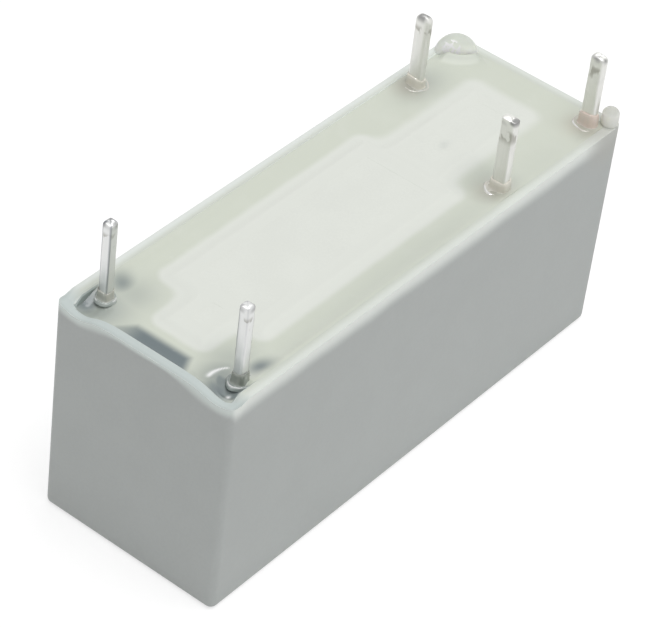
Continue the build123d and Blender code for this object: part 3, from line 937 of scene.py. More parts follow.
@dataclass(frozen=True)
class ClearCollar(Finish):
    """The thick drop of resin round a pin's foot, which lets some light through."""

    core_colour: Colour = WHITE
    clearness: float = 0.2
    flow_size: float = 0.35 * MM
    flow_depth: float = 0.008 * MM

    def write(self, graph: Graph, shader: bpy.types.Node) -> None:
        """Writes a tinted, partly clear body with flow lines.

        Args:
            graph: The material's graph.
            shader: Its main shader.
        """
        place = graph.place()
        flow = graph.noise(place, self.flow_size, 2.0, (1.0, 1.0, 0.35))
        tinted = graph.mix(graph.layer("core"), self.colour, self.core_colour)
        clouded = graph.mix(graph.span(flow, 0.45, 0.7, 0.0, 0.35), tinted, self.colour)
        graph.feed(shader.inputs["Base Color"], graph.mix(graph.layer("glint"), clouded, WHITE))
        shader.inputs["Transmission Weight"].default_value = self.clearness
        shader.inputs["IOR"].default_value = 1.5
        shader.inputs["Coat Weight"].default_value = 1.0
        shader.inputs["Coat Roughness"].default_value = 0.03
        self.bump(graph, shader, flow, self.flow_depth)


class Lay(Enum):
    """Which way a metal's fine lines run."""

    ALONG = (1.0, 1.0, 0.06)
    ACROSS = (0.06, 1.0, 1.0)
    NONE = (1.0, 1.0, 1.0)


@dataclass(frozen=True)
class Metal(Finish):
    """Bare or plated metal with drawn or rolled lines and tarnish; some kinds add marks of their own."""

    lay: Lay = Lay.NONE
    tarnish_colour: Colour = WHITE
    tarnish: float = 0.25
    line_width: float = 0.07 * MM
    line_depth: float = 0.002 * MM
    cloud_size: float = 0.8 * MM
    edge_wear_and_light_width: float = 0.08 * MM
    edge_wear_and_light_share: float = 0.3

    def write(self, graph: Graph, shader: bpy.types.Node) -> None:
        """Writes lines, tarnish and darker edges, which on the tinned pins are painted dark reflections.

        Args:
            graph: The material's graph.
            shader: Its main shader.
        """
        place = graph.place()
        lines = graph.noise(place, self.line_width, 3.0, self.lay.value)
        clouds = graph.noise(place, self.cloud_size, 3.0)
        edge_wear_and_light = graph.add("ShaderNodeGroup", {}, node_tree=EFFECTS.edge_wear_and_light)
        graph.feed(edge_wear_and_light.inputs["Place"], place)
        graph.feed(edge_wear_and_light.inputs["Width"], self.edge_wear_and_light_width)
        dull = graph.span(clouds, 0.5, 0.72, 0.0, self.tarnish)
        toned = graph.mix(dull, self.colour, self.tarnish_colour)
        # darker edges: tarnish, and on the tinned pins painted dark reflections
        edged = graph.mix(graph.times(edge_wear_and_light.outputs[0], self.edge_wear_and_light_share), toned, self.tarnish_colour)
        graph.feed(shader.inputs["Base Color"], self.marks(graph, place, edged))
        shader.inputs["Metallic"].default_value = 1.0
        rough = graph.span(lines, 0.3, 0.7, self.roughness - 0.05, self.roughness + 0.1)
        graph.feed(shader.inputs["Roughness"], rough)
        self.bump(graph, shader, lines, self.line_depth)

    def marks(self, graph: Graph, place: Socket, colour: Socket) -> Socket:
        """Adds marks that only some kinds of this metal have.

        Args:
            graph: The material's graph.
            place: Object coordinates.
            colour: The colour so far.

        Returns:
            The colour to use.
        """
        return colour


@dataclass(frozen=True)
class TinnedPin(Metal):
    """Hot-tinned pin: satin silver, darker in patches at the tip, with a few stains under it and painted dark
    reflections along its corners.
    """

    tip_height: float = 16 * MM
    tip_colour: Colour = (0.22, 0.22, 0.22, 1.0)
    stain_colour: Colour = (0.25, 0.24, 0.2, 1.0)

    def marks(self, graph: Graph, place: Socket, colour: Socket) -> Socket:
        """Darkens patches of the tip, leaves slanted stains below it and darkens broken lines along the
        corners: painted dark reflections.

        Args:
            graph: The material's graph.
            place: Object coordinates.
            colour: The tinned colour.

        Returns:
            The marked colour.
        """
        height = graph.split(place)[2]
        tip = self.tip_height
        near_tip = graph.span(height, tip - 0.5 * MM, tip - 0.1 * MM)
        patch = graph.span(graph.noise(place, 0.6 * MM, 1.0), 0.42, 0.64, 0.0, 0.85)
        tipped = graph.mix(graph.times(near_tip, patch), colour, self.tip_colour)
        over_shaft = graph.span(height, tip - 1.5 * MM, tip - 1.0 * MM)
        under_tip = graph.span(height, tip - 0.8 * MM, tip - 0.5 * MM, 1.0, 0.0)
        stain = graph.span(graph.noise(place, 0.5 * MM, 2.0, (1.0, 1.0, 0.6)), 0.54, 0.62, 0.0, 0.6)
        stained = graph.mix(graph.times(graph.times(over_shaft, under_tip), stain), tipped, self.stain_colour)
        # painted dark reflections: broken dark lines along the section's corners
        broken = graph.span(graph.noise(place, 0.6 * MM, 2.0, (1.0, 1.0, 0.3)), 0.3, 0.55, 0.35, 1.0)
        corner = graph.times(graph.times(graph.layer("corner"), broken), self.edge_wear_and_light_share)
        return graph.mix(corner, stained, self.tarnish_colour)


@dataclass(frozen=True)
class EnamelledWire(Finish):
    """Copper wire under clear enamel."""

    dark_colour: Colour = WHITE

    def write(self, graph: Graph, shader: bpy.types.Node) -> None:
        """Writes the copper's drift and the enamel's gloss.

        Args:
            graph: The material's graph.
            shader: Its main shader.
        """
        place = graph.place()
        drift = graph.noise(place, 1.4 * MM, 2.0, (0.4, 1.0, 1.0))
        toned = graph.mix(graph.span(drift, 0.35, 0.7, 0.0, 0.45), self.colour, self.dark_colour)
        graph.feed(shader.inputs["Base Color"], toned)
        shader.inputs["Metallic"].default_value = 0.85
        shader.inputs["Coat Weight"].default_value = 0.6
        shader.inputs["Coat Roughness"].default_value = 0.12
        self.bump(graph, shader, graph.noise(place, 0.05 * MM), 0.002 * MM)


# the glow, rim and standoff colours are painted light, the inner colour painted shade
COVER = CoverPlastic(
    "cover_plastic",
    srgb(192, 196, 194),
    0.5,
    grain_size=0.16 * MM,
    grain_depth=0.005 * MM,
    drift=0.02,
    rim_colour=srgb(223, 228, 221),
    inner_rim_colour=srgb(211, 216, 206),
    end_rim_colour=srgb(199, 208, 206),
    painted_glow_colour=srgb(250, 255, 250),
    painted_end_glow_colour=srgb(230, 238, 234),
    far_rim_colour=srgb(229, 234, 229),
    standoff_colour=srgb(207, 212, 203),
    standoff_painted_light_colour=srgb(246, 250, 240),
    slim_colour=srgb(196, 197, 191),
    slim_painted_light_colour=srgb(232, 233, 227),
    painted_inner_shade_colour=srgb(172, 182, 179),
    edge_wear_and_highlight_colour=srgb(225, 230, 226),
    edge_wear_and_light_share=0.55,
)
# the dark colour paints shade
BASE = PottedPlastic(
    "base_plastic",
    srgb(227, 230, 223),
    0.42,
    grain_depth=0.003 * MM,
    drift=0.015,
    deep_colour=srgb(212, 217, 205),
    dark_colour=srgb(86, 101, 110),
)
# the dark and warm colours paint shade
RESIN = PottingResin(
    "sealing_resin",
    srgb(212, 217, 204),
    0.3,
    shallow_colour=srgb(227, 230, 223),
    dark_colour=srgb(86, 101, 110),
    warm_colour=srgb(176, 166, 148),
)
COIL_COLLAR = ClearCollar("coil_pin_collar", srgb(180, 189, 184), 0.12, core_colour=srgb(208, 208, 196))
# the second coil pin's collar is darker: painted shade, like the dark well round it
WELL_COLLAR = ClearCollar("well_pin_collar", srgb(160, 170, 166), 0.12, core_colour=srgb(160, 166, 156))
CONTACT_COLLAR = ClearCollar("contact_pin_collar", srgb(226, 224, 214), 0.12, core_colour=srgb(246, 242, 229))
NC_COLLAR = ClearCollar("closed_pin_collar", srgb(224, 220, 212), 0.12, core_colour=srgb(246, 228, 215))
BOBBIN = MouldedPlastic("bobbin_plastic", srgb(226, 220, 196), 0.45)
CARD = MouldedPlastic("card_plastic", srgb(222, 222, 212), 0.45)
STRIP = TinnedPin(
    "tinned_strip",
    srgb(226, 226, 222),
    0.42,
    lay=Lay.ALONG,
    tarnish_colour=srgb(116, 119, 122),
    tarnish=0.08,
    edge_wear_and_light_share=0.1,
)
WIRE = TinnedPin(
    "tinned_wire",
    srgb(224, 225, 224),
    0.36,
    lay=Lay.ALONG,
    tarnish_colour=srgb(96, 100, 112),
    tarnish=0.05,
    edge_wear_and_light_share=0.8,
)
IRON = Metal("soft_iron", srgb(176, 178, 182), 0.34, lay=Lay.ACROSS, tarnish_colour=srgb(120, 122, 128))
SPRING_STEEL = Metal(
    "spring_steel", srgb(190, 191, 192), 0.22, lay=Lay.ALONG, tarnish_colour=srgb(140, 138, 132)
)
BRONZE = Metal("spring_bronze", srgb(214, 164, 110), 0.28, lay=Lay.ALONG, tarnish_colour=srgb(150, 100, 60))
SILVER = Metal("contact_silver", srgb(226, 224, 218), 0.2, tarnish_colour=srgb(150, 146, 140))
BRASS = Metal("rivet_brass", srgb(216, 184, 116), 0.3, tarnish_colour=srgb(150, 120, 70))
COPPER = EnamelledWire("winding_wire", srgb(190, 104, 62), 0.3, dark_colour=srgb(140, 66, 40))


# What stands on the deck


@dataclass(frozen=True)
class PinForm:
    """One pin above the deck: its node, section, tip and collar.

    Each of the collar's glints has the direction it faces and its reach round the collar, in degrees.
    """

    node: str
    round_power: float
    tip_length: float
    tip_power: float
    collar_radius: float
    collar_height: float
    collar: Finish
    glints: tuple[Pair, ...]
    # how dark the painted reflections along the section's corners are
    painted_corner_reflection: float
    seed: float

    def centre(self) -> Pair:
        """Finds the pin's middle in the plan, from the frame's straight part.

        Returns:
            Its place along and across the box.
        """
        points = self.upper_points()
        middle = (points.min(0) + points.max(0)) / 2
        return float(middle[0]), float(middle[1])

    def half(self) -> Pair:
        """Finds half the pin's section, from the frame's straight part.

        Returns:
            Half its size along and across the box.
        """
        points = self.upper_points()
        size = (points.max(0) - points.min(0)) / 2
        return float(size[0]), float(size[1])

    def upper_points(self) -> np.ndarray:
        """Reads the frame's points of this pin half a millimetre and more above the rim.

        Returns:
            Their places.
        """
        points = mesh_points(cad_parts[self.node].data)
        return points[points[:, 2] > BOX.rim + 0.5 * MM]

    def tip(self) -> float:
        """Finds the tip's height.

        Returns:
            The height.
        """
        return float(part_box(self.node)[1].z)


PINS = [
    PinForm(
        "coil_terminal_a",
        round_power=4.2,
        tip_length=0.26 * MM,
        tip_power=2.2,
        collar_radius=0.5 * MM,
        collar_height=0.5 * MM,
        collar=COIL_COLLAR,
        glints=((150, 26), (285, 26)),
        painted_corner_reflection=0.6,
        seed=0.3,
    ),
    PinForm(
        "coil_terminal_b",
        round_power=4.2,
        tip_length=0.2 * MM,
        tip_power=2.6,
        collar_radius=0.56 * MM,
        collar_height=0.55 * MM,
        collar=WELL_COLLAR,
        glints=((185, 50),),
        painted_corner_reflection=0.2,
        seed=1.7,
    ),
    PinForm(
        "com_terminal",
        round_power=3.6,
        tip_length=0.36 * MM,
        tip_power=2.1,
        collar_radius=0.64 * MM,
        collar_height=0.55 * MM,
        collar=CONTACT_COLLAR,
        glints=((150, 26), (242, 14)),
        painted_corner_reflection=0.3,
        seed=2.9,
    ),
    PinForm(
        "no_terminal",
        round_power=4.5,
        tip_length=0.14 * MM,
        tip_power=2.6,
        collar_radius=0.7 * MM,
        collar_height=0.65 * MM,
        collar=CONTACT_COLLAR,
        glints=((150, 40), (225, 15)),
        painted_corner_reflection=0.4,
        seed=4.1,
    ),
    PinForm(
        "nc_terminal",
        round_power=3.6,
        tip_length=0.3 * MM,
        tip_power=2.1,
        collar_radius=0.72 * MM,
        collar_height=0.7 * MM,
        collar=NC_COLLAR,
        glints=((145, 30), (290, 15)),
        painted_corner_reflection=0.3,
        seed=5.2,
    ),
]
COIL_PINS = PINS[:2]
CONTACT_PINS = PINS[2:]
WELL_PIN = PINS[1]


@dataclass(frozen=True)
class Standoff:
    """A rounded foot on the rim, whose side towards the coil pins may be flatter than the rest."""

    middle: Pair
    radius: float
    press: float = 1.0
    front: Pair = (-0.83, -0.56)

    def split(self, x: np.ndarray, y: np.ndarray) -> tuple[np.ndarray, np.ndarray]:
        """Measures places from the middle, towards the flatter side and across it.

        Args:
            x: Plan places along the box.
            y: Plan places across it.

        Returns:
            The two distances.
        """
        dx = x - self.middle[0]
        dy = y - self.middle[1]
        ahead = dx * self.front[0] + dy * self.front[1]
        side = dy * self.front[0] - dx * self.front[1]
        return ahead, side

    def away(self, x: np.ndarray, y: np.ndarray) -> np.ndarray:
        """How far places lie outside the foot, 0 inside it.

        Args:
            x: Plan places along the box.
            y: Plan places across it.

        Returns:
            (q - r) q / s, with q = |(a / p, b)| and s = |(a / p^2, b)| for a place a ahead and b
            aside, where p is the press. It is never below 0.
        """
        ahead, side = self.split(x, y)
        press = np.where(ahead > 0, self.press, 1.0)
        round_reach = np.hypot(ahead / press, side)
        slope = np.hypot(ahead / press**2, side)
        return np.maximum((round_reach - self.radius) * round_reach / np.maximum(slope, 1e-9), 0.0)

    def pressed(self, points: np.ndarray, wall: float) -> np.ndarray:
        """Moves the foot's points on the flatter side closer to its middle: a becomes a p.

        Args:
            points: Places on the box.
            wall: The inner wall's place, which points under the rim don't pass.

        Returns:
            The new places.
        """
        slack = 0.004 * MM
        foot_bottom = BOX.rim - 2.0 * MM
        under_rim = BOX.rim - 0.1 * MM
        x, y, z = points.T
        ahead, side = self.split(x, y)
        inside = (np.hypot(ahead, side) < self.radius + slack) & (ahead > 0) & (z > foot_bottom)
        back = np.where(inside, ahead * (1 - self.press), 0.0)
        new_x = x - back * self.front[0]
        new_y = y - back * self.front[1]
        low = inside & (z < under_rim) & (y <= wall + slack)
        new_y = np.where(low, np.minimum(new_y, wall), new_y)
        return np.stack([new_x, new_y, z], axis=-1)


WIDE_STANDOFF = Standoff((12.98 * MM, 3.93 * MM), 1.05 * MM, press=0.45)
SLIM_STANDOFF = Standoff((13.81 * MM, -4.56 * MM), 0.42 * MM)


@dataclass(frozen=True)
class RoundMark:
    """A soft ring of height h exp(-((rho - r) / w)^2) round its middle, or a dot where r is 0."""

    middle: Pair
    radius: float
    width: float
    height: float

    def at(self, x: np.ndarray, y: np.ndarray) -> np.ndarray:
        """Works out the mark's height at plan places.

        Args:
            x: Plan places along the box.
            y: Plan places across it.

        Returns:
            The height.
        """
        away = np.hypot(x - self.middle[0], y - self.middle[1])
        return self.height * np.exp(-(((away - self.radius) / self.width) ** 2))


GATE_PIT = RoundMark((6.65 * MM, 0.0), radius=0.0, width=0.24 * MM, height=0.05 * MM)
GATE_RING = RoundMark((6.65 * MM, 0.0), radius=0.42 * MM, width=0.06 * MM, height=0.02 * MM)
PIP = RoundMark((7.35 * MM, -1.2 * MM), radius=0.0, width=0.12 * MM, height=0.04 * MM)
EJECTOR_RING = RoundMark((6.75 * MM, 1.0 * MM), radius=0.55 * MM, width=0.05 * MM, height=0.008 * MM)
WELL_LIP = RoundMark((-12.35 * MM, -3.81 * MM), radius=1.15 * MM, width=0.09 * MM, height=0.05 * MM)


# painted shade spots: how dark each spot is, its middle in the plan and its reach along and across, in
# millimetres
DARK_SPOTS = (
    (0.84, (-13.0, 4.3), (1.0, 0.75)),
    (0.48, (-13.0, 3.4), (1.4, 1.2)),
    (0.66, (-11.15, 3.9), (0.65, 0.5)),
    (0.28, (-11.3, 3.1), (1.2, 1.0)),
    (0.85, (-13.3, -3.5), (0.8, 0.9)),
    (0.55, (-12.6, -2.9), (1.2, 0.9)),
    (0.8, (-11.05, -3.85), (0.66, 0.5)),
    (0.28, (-11.5, -2.6), (1.3, 1.1)),
    (0.32, (9.7, 3.6), (1.6, 1.0)),
    (0.26, (6.0, -3.8), (1.4, 0.9)),
    (0.2, (6.3, -2.8), (1.5, 1.1)),
    (0.2, (12.7, -4.2), (1.2, 0.6)),
    (0.09, (1.0, -3.9), (11.0, 1.0)),
    (0.2, (-13.4, 2.6), (0.5, 0.8)),
    (0.24, (-13.3, -2.2), (0.45, 0.5)),
    (0.1, (6.85, 0.0), (0.35, 0.22)),
)


@dataclass(frozen=True)
class Deck:
    """The pin side as two height fields over the plan: the base's top and the resin on it."""

    cavity_corner: float = 0.35 * MM
    base_half: Pair = (13.55 * MM, 4.3 * MM)
    base_corner: float = 0.3 * MM
    skirt: float = 0.05 * MM
    gutter_level: float = 11.3 * MM
    plateau_parts: tuple[tuple[Pair, Pair], ...] = (
        ((-9.7 * MM, -3.0 * MM), (4.85 * MM, 3.36 * MM)),
        ((-12.08 * MM, -1.6 * MM), (-8.0 * MM, 1.65 * MM)),
        ((4.0 * MM, -1.95 * MM), (12.02 * MM, 2.24 * MM)),
    )
    plateau_corner: float = 0.6 * MM
    plateau_blend: float = 0.35 * MM
    shoulder: Pair = (0.25 * MM, 0.75 * MM)
    crown_gap: float = 0.02 * MM
    base_swell: float = 0.008 * MM
    resin_level: float = 11.75 * MM
    resin_slope: float = 0.0145
    stand_over: float = 0.1 * MM
    crease: float = 0.02 * MM
    resin_swell: float = 0.01 * MM
    rim_gap: float = 0.003 * MM
    wall_reach: float = 0.5 * MM
    end_creep: float = 0.1 * MM
    end_zone: Pair = (-13.3 * MM, -11.4 * MM)
    creep_power: float = 1.3
    pin_skin: float = 0.3 * MM
    pin_creep: float = 0.1 * MM
    pin_reach: float = 0.3 * MM
    foot_creep: float = 0.34 * MM
    foot_clear: float = 0.35 * MM
    corner_drops: tuple[tuple[float, Pair], ...] = (
        (0.2 * MM, (-13.2 * MM, -3.9 * MM)),
        (0.3 * MM, (-13.3 * MM, 4.0 * MM)),
    )
    corner_reach: Pair = (0.9 * MM, 0.6 * MM)
    lip_zone: Pair = (-12.4 * MM, -12.9 * MM)
    slot_drop: float = 0.06 * MM
    slot_middle: Pair = (-13.3 * MM, 0.5 * MM)
    slot_reach: Pair = (0.35 * MM, 1.6 * MM)
    slot_box: tuple[Pair, Pair] = ((-14.2 * MM, -1.75 * MM), (-12.62 * MM, 2.35 * MM))
    slot_corner: float = 0.15 * MM
    slot_cuts: tuple[tuple[Pair, Pair], ...] = (
        ((0.7, 0.71), (-13.21 * MM, 2.27 * MM)),
        ((0.44, -0.9), (-12.66 * MM, -1.35 * MM)),
    )
    slot_edge: Pair = (0.24 * MM, -0.28 * MM)
    slot_fades: Pair = (1.0 * MM, 2.2 * MM)
    slot_dark: float = 0.87
    foot_dark: float = 0.14
    foot_dark_reach: float = 0.45 * MM
    well_edge: Pair = (1.25 * MM, 0.9 * MM)
    well_zone: Pair = (-12.2 * MM, -12.7 * MM)
    well_dark: float = 0.76
    blend: float = 0.08 * MM
    film_edge: float = 0.004 * MM
    film: float = 0.01 * MM
    sheet: float = 0.1 * MM
    wall_overlap: float = 0.124 * MM
    film_reach: float = 1.3 * MM
    step: float = 0.068 * MM

    def plateau_level(self) -> float:
        """Finds the plateau's height.

        Returns:
            The top of the base in the frame.
        """
        return float(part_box("base")[1].z)

    def plateau_distance(self, x: np.ndarray, y: np.ndarray) -> np.ndarray:
        """Signed distance to the plateau's outline, a wide middle with two tongues.

        The parts' distances d join softly: -b ln(sum of exp(-d / b)).

        Args:
            x: Plan places along the box.
            y: Plan places across it.

        Returns:
            The distance, negative on the plateau, soft in the inner corners.
        """
        parts = (rounded_box(x, y, low, high, self.plateau_corner) for low, high in self.plateau_parts)
        return -self.plateau_blend * np.log(sum(np.exp(-part / self.plateau_blend) for part in parts))

    def wall_distance(self, x: np.ndarray, y: np.ndarray) -> np.ndarray:
        """Distance to the box's inner wall.

        Args:
            x: Plan places along the box.
            y: Plan places across it.

        Returns:
            The distance, positive inside the box.
        """
        half_length, half_width = BOX.cavity()
        low = (-half_length, -half_width)
        high = (half_length, half_width)
        return -rounded_box(x, y, low, high, self.cavity_corner)

    def resin_slope_level(self, x: np.ndarray) -> np.ndarray:
        """Finds the open resin's height, which rises evenly from the coil pins to the contact pins.

        Args:
            x: Plan places along the box.

        Returns:
            The height.
        """
        return self.resin_level + self.resin_slope * x

    def moulded_marks(self, x: np.ndarray, y: np.ndarray) -> np.ndarray:
        """Depth of the moulding's marks: the gate's pit and half ring, a pip and an ejector's ring.

        Args:
            x: Plan places along the box.
            y: Plan places across it.

        Returns:
            The depth.
        """
        near_side = x < GATE_RING.middle[0] - 0.05 * MM
        part_ring = GATE_RING.at(x, y) * near_side
        return GATE_PIT.at(x, y) + part_ring + PIP.at(x, y) + EJECTOR_RING.at(x, y)

    def base_height(self, x: np.ndarray, y: np.ndarray) -> np.ndarray:
        """Height of the base: gutter, soft shoulder and plateau with its moulding marks.

        The plateau's top t stays under a plane p that follows the resin: t - c ln(1 + exp((t - p) / c)).

        Args:
            x: Plan places along the box.
            y: Plan places across it.

        Returns:
            The height.
        """
        rise = soft_step(self.shoulder[0], -self.shoulder[1], self.plateau_distance(x, y))
        over_resin = self.resin_slope_level(x) + self.stand_over
        crown = self.plateau_level() - self.crown_gap
        crown = crown - self.crease * np.logaddexp(0.0, (crown - over_resin) / self.crease)
        height = self.gutter_level + (crown - self.gutter_level) * rise
        return height + self.base_swell * ripple(x, y, 5 * MM, 0.7) - self.moulded_marks(x, y)

    def resin_creep(self, x: np.ndarray, y: np.ndarray) -> np.ndarray:
        """How far the resin climbs: h exp(-(d / l)^1.3) at walls and feet, h exp(-d / l) at pins.

        Args:
            x: Plan places along the box.
            y: Plan places across it.

        Returns:
            The climb over the open resin.
        """
        wall = np.maximum(self.wall_distance(x, y), 0.0)
        to_rim = BOX.rim - self.rim_gap - self.resin_slope_level(x)
        at_wall = self.end_creep + (to_rim - self.end_creep) * soft_step(*self.end_zone, x)
        climb = at_wall * np.exp(-((wall / self.wall_reach) ** self.creep_power))
        for pin in PINS:
            px, py = pin.centre()
            away = np.maximum(np.hypot(x - px, y - py) - self.pin_skin, 0.0)
            climb = climb + self.pin_creep * np.exp(-away / self.pin_reach)
        for foot in (WIDE_STANDOFF, SLIM_STANDOFF):
            away = foot.away(x, y) / self.foot_creep
            at_foot = self.foot_creep * np.exp(-(away**self.creep_power))
            climb = climb + at_foot * soft_step(0.0, self.foot_clear, wall)
        return climb

    def resin_height(self, x: np.ndarray, y: np.ndarray) -> np.ndarray:
        """Height of the resin: a wavy slope with its creep, sunk corners and the lip of a well.

        Over the plateau the height h goes over into a film f on the base, which fades out:
        f + b ln(1 + exp((h - f) / b)).

        Args:
            x: Plan places along the box.
            y: Plan places across it.

        Returns:
            The height.
        """
        wall = np.maximum(self.wall_distance(x, y), 0.0)
        waves = self.resin_swell * ripple(x, y, 4 * MM, 2.1) * soft_step(0.0, 0.6 * MM, wall)
        height = self.resin_slope_level(x) + waves + self.resin_creep(x, y)
        for drop, corner in self.corner_drops:
            height = height - drop * hill(x, y, corner, self.corner_reach)
        height = height + WELL_LIP.at(x, y) * soft_step(*self.lip_zone, x)
        height = height - self.slot_drop * hill(x, y, self.slot_middle, self.slot_reach)
        base = self.base_height(x, y)
        over = self.film + self.blend * np.logaddexp(0.0, (height - base - self.film) / self.blend)
        fade = soft_step(-self.film_reach + 0.1 * MM, -0.4 * MM, self.plateau_distance(x, y))
        return base + self.film_edge + over * fade

    def depth(self, x: np.ndarray, y: np.ndarray) -> np.ndarray:
        """How deep the resin looks, 0 on the plateau to 1 in the gutter.

        The step across the plateau's outline is softer by the contact pins.

        Args:
            x: Plan places along the box.
            y: Plan places across it.

        Returns:
            The share of full depth.
        """
        softer = soft_step(4 * MM, 7 * MM, x)
        inner = (0.17 + 0.1 * softer) * MM
        outer = (0.22 + 0.18 * softer) * MM
        return soft_step(-inner, outer, self.plateau_distance(x, y))

    def shade(self, x: np.ndarray, y: np.ndarray) -> np.ndarray:
        """Painted shade: dark hollows under the resin in the corners and the end slot, shadows beside the
        pins, the second coil pin's dark well and a ring round the wide standoff's foot.

        The slot is a box whose inner corners two slanting lines cut off, and it fades towards its
        left end. The darkest of all of them counts at each place.

        Args:
            x: Plan places along the box.
            y: Plan places across it.

        Returns:
            How dark each place is, 0 to 1.
        """
        # painted shade of the dark hollow under the end slot
        slot = rounded_box(x, y, *self.slot_box, self.slot_corner)
        for facing, point in self.slot_cuts:
            slot = np.maximum(slot, facing[0] * (x - point[0]) + facing[1] * (y - point[1]))
        fading = 1 - 0.4 * soft_step(*self.slot_fades, y)
        dark = self.slot_dark * soft_step(*self.slot_edge, slot) * fading
        for amount, centre, reach in DARK_SPOTS:
            place = (centre[0] * MM, centre[1] * MM)
            dark = np.maximum(dark, amount * hill(x, y, place, (reach[0] * MM, reach[1] * MM)))
        # painted shade round the wide standoff's foot
        by_foot = WIDE_STANDOFF.away(x, y) / self.foot_dark_reach
        dark = np.maximum(dark, self.foot_dark * np.exp(-(by_foot**2)))
        # painted shade in the second coil pin's dark well
        px, py = WELL_PIN.centre()
        in_well = soft_step(*self.well_edge, np.hypot(x - px, y - py))
        well = in_well * soft_step(*self.well_zone, x)
        return np.clip(np.maximum(dark, self.well_dark * well), 0, 1)

    def warm(self, x: np.ndarray, y: np.ndarray) -> np.ndarray:
        """Brownish darker patches beside the contact pins and in the corner by the slim standoff: painted
        shade with a warm tint.

        Args:
            x: Plan places along the box.
            y: Plan places across it.

        Returns:
            How stained each place is, 0 to 1.
        """
        stain = np.zeros_like(x)
        for pin in CONTACT_PINS:
            px, py = pin.centre()
            middle = (px - 0.35 * MM, py + 0.1 * MM)
            stain = np.maximum(stain, 0.6 * hill(x, y, middle, (0.85 * MM, 0.75 * MM)))
        return np.maximum(stain, 0.45 * hill(x, y, (12.7 * MM, -4.3 * MM), (0.9 * MM, 0.5 * MM)))

    def gloss(self, x: np.ndarray, y: np.ndarray) -> np.ndarray:
        """Where the skin is clear and wet-looking: a little in the gutter, most by pins and corners.

        Args:
            x: Plan places along the box.
            y: Plan places across it.

        Returns:
            The skin's weight, 0 to 1.
        """
        wet = 0.25 * self.depth(x, y)
        for pin in PINS:
            px, py = pin.centre()
            wet = np.maximum(wet, hill(x, y, (px, py), (1.3 * MM, 1.3 * MM)))
        for corner in ((-13.2 * MM, -3.9 * MM), (-13.2 * MM, 3.9 * MM)):
            wet = np.maximum(wet, hill(x, y, corner, (1.0 * MM, 1.0 * MM)))
        return wet

    def glint(self, x: np.ndarray, y: np.ndarray) -> np.ndarray:
        """Painted highlights: bright curls where the skin bends sharply up round the second coil pin's well.

        The long one runs from 62 to 124 degrees round the pin and opens outwards as it goes.

        Args:
            x: Plan places along the box.
            y: Plan places across it.

        Returns:
            How bright each place is, 0 to 1.
        """
        px, py = WELL_PIN.centre()
        away = np.hypot(x - px, y - py)
        turn = np.degrees(np.arctan2(y - py, x - px))
        curl = 1.04 * MM + (turn - 70) / 47 * 0.32 * MM
        width = (0.05 + 0.06 * soft_step(75, 112, turn)) * MM
        along_arc = soft_step(62, 72, turn) * soft_step(124, 112, turn)
        arc = np.exp(-(((away - curl) / width) ** 2)) * along_arc
        for spot in ((-13.28, -3.98), (-12.66, -4.22)):
            arc = np.maximum(arc, hill(x, y, (spot[0] * MM, spot[1] * MM), (0.12 * MM, 0.08 * MM)))
        return arc

    def plan_grid(self, half: Pair, corner: float) -> tuple[np.ndarray, np.ndarray]:
        """Lays an even grid over a rounded rectangle, its outer points drawn onto the outline.

        A point past a corner's arc moves towards the arc's middle until it is r away from it.

        Args:
            half: Half the rectangle's size.
            corner: Its corner radius.

        Returns:
            The grid's places along and across the box.
        """
        columns = int(round(2 * half[0] / self.step)) + 1
        rows = int(round(2 * half[1] / self.step)) + 1
        places_along = np.linspace(-half[0], half[0], columns)
        places_across = np.linspace(-half[1], half[1], rows)
        x, y = np.meshgrid(places_along, places_across)
        qx = np.abs(x) - (half[0] - corner)
        qy = np.abs(y) - (half[1] - corner)
        past = np.maximum(np.hypot(np.maximum(qx, 0), np.maximum(qy, 0)), 1e-12)
        share = np.where((qx > 0) & (qy > 0) & (past > corner), corner / past, 1.0)
        x = np.where(share < 1, np.sign(x) * (half[0] - corner + qx * share), x)
        y = np.where(share < 1, np.sign(y) * (half[1] - corner + qy * share), y)
        return x, y

    def layers(self, x: np.ndarray, y: np.ndarray) -> dict[str, np.ndarray]:
        """Works out what the materials read at the points.

        Args:
            x: Plan places along the box.
            y: Plan places across it.

        Returns:
            The named values.
        """
        return {
            "depth": self.depth(x, y),
            "shade": self.shade(x, y),
            "warm": self.warm(x, y),
            "gloss": self.gloss(x, y),
            "glint": self.glint(x, y),
        }

    def build_base(self) -> Obj:
        """Makes the base: the frame's own underside with a softly modelled top.

        Returns:
            The piece.
        """
        x, y = self.plan_grid(self.base_half, self.base_corner)
        cut = self.gutter_level - self.skirt
        top = np.stack([x, y, self.base_height(x, y)], axis=-1)
        rows, columns = x.shape
        faces = grid_quads(rows, columns).tolist()
        made = mesh_object("base_moulding", top, faces, self.layers(x, y))
        bm = bmesh.new()
        bm.from_mesh(made.data)
        edge = [e for e in bm.edges if e.is_boundary]
        skirt = bmesh.ops.extrude_edge_only(bm, edges=edge)
        for vert in (v for v in skirt["geom"] if isinstance(v, bmesh.types.BMVert)):
            vert.co.z = cut
        add_lower_part(bm, "base", cut)
        tidy_mesh(bm, made)
        return made

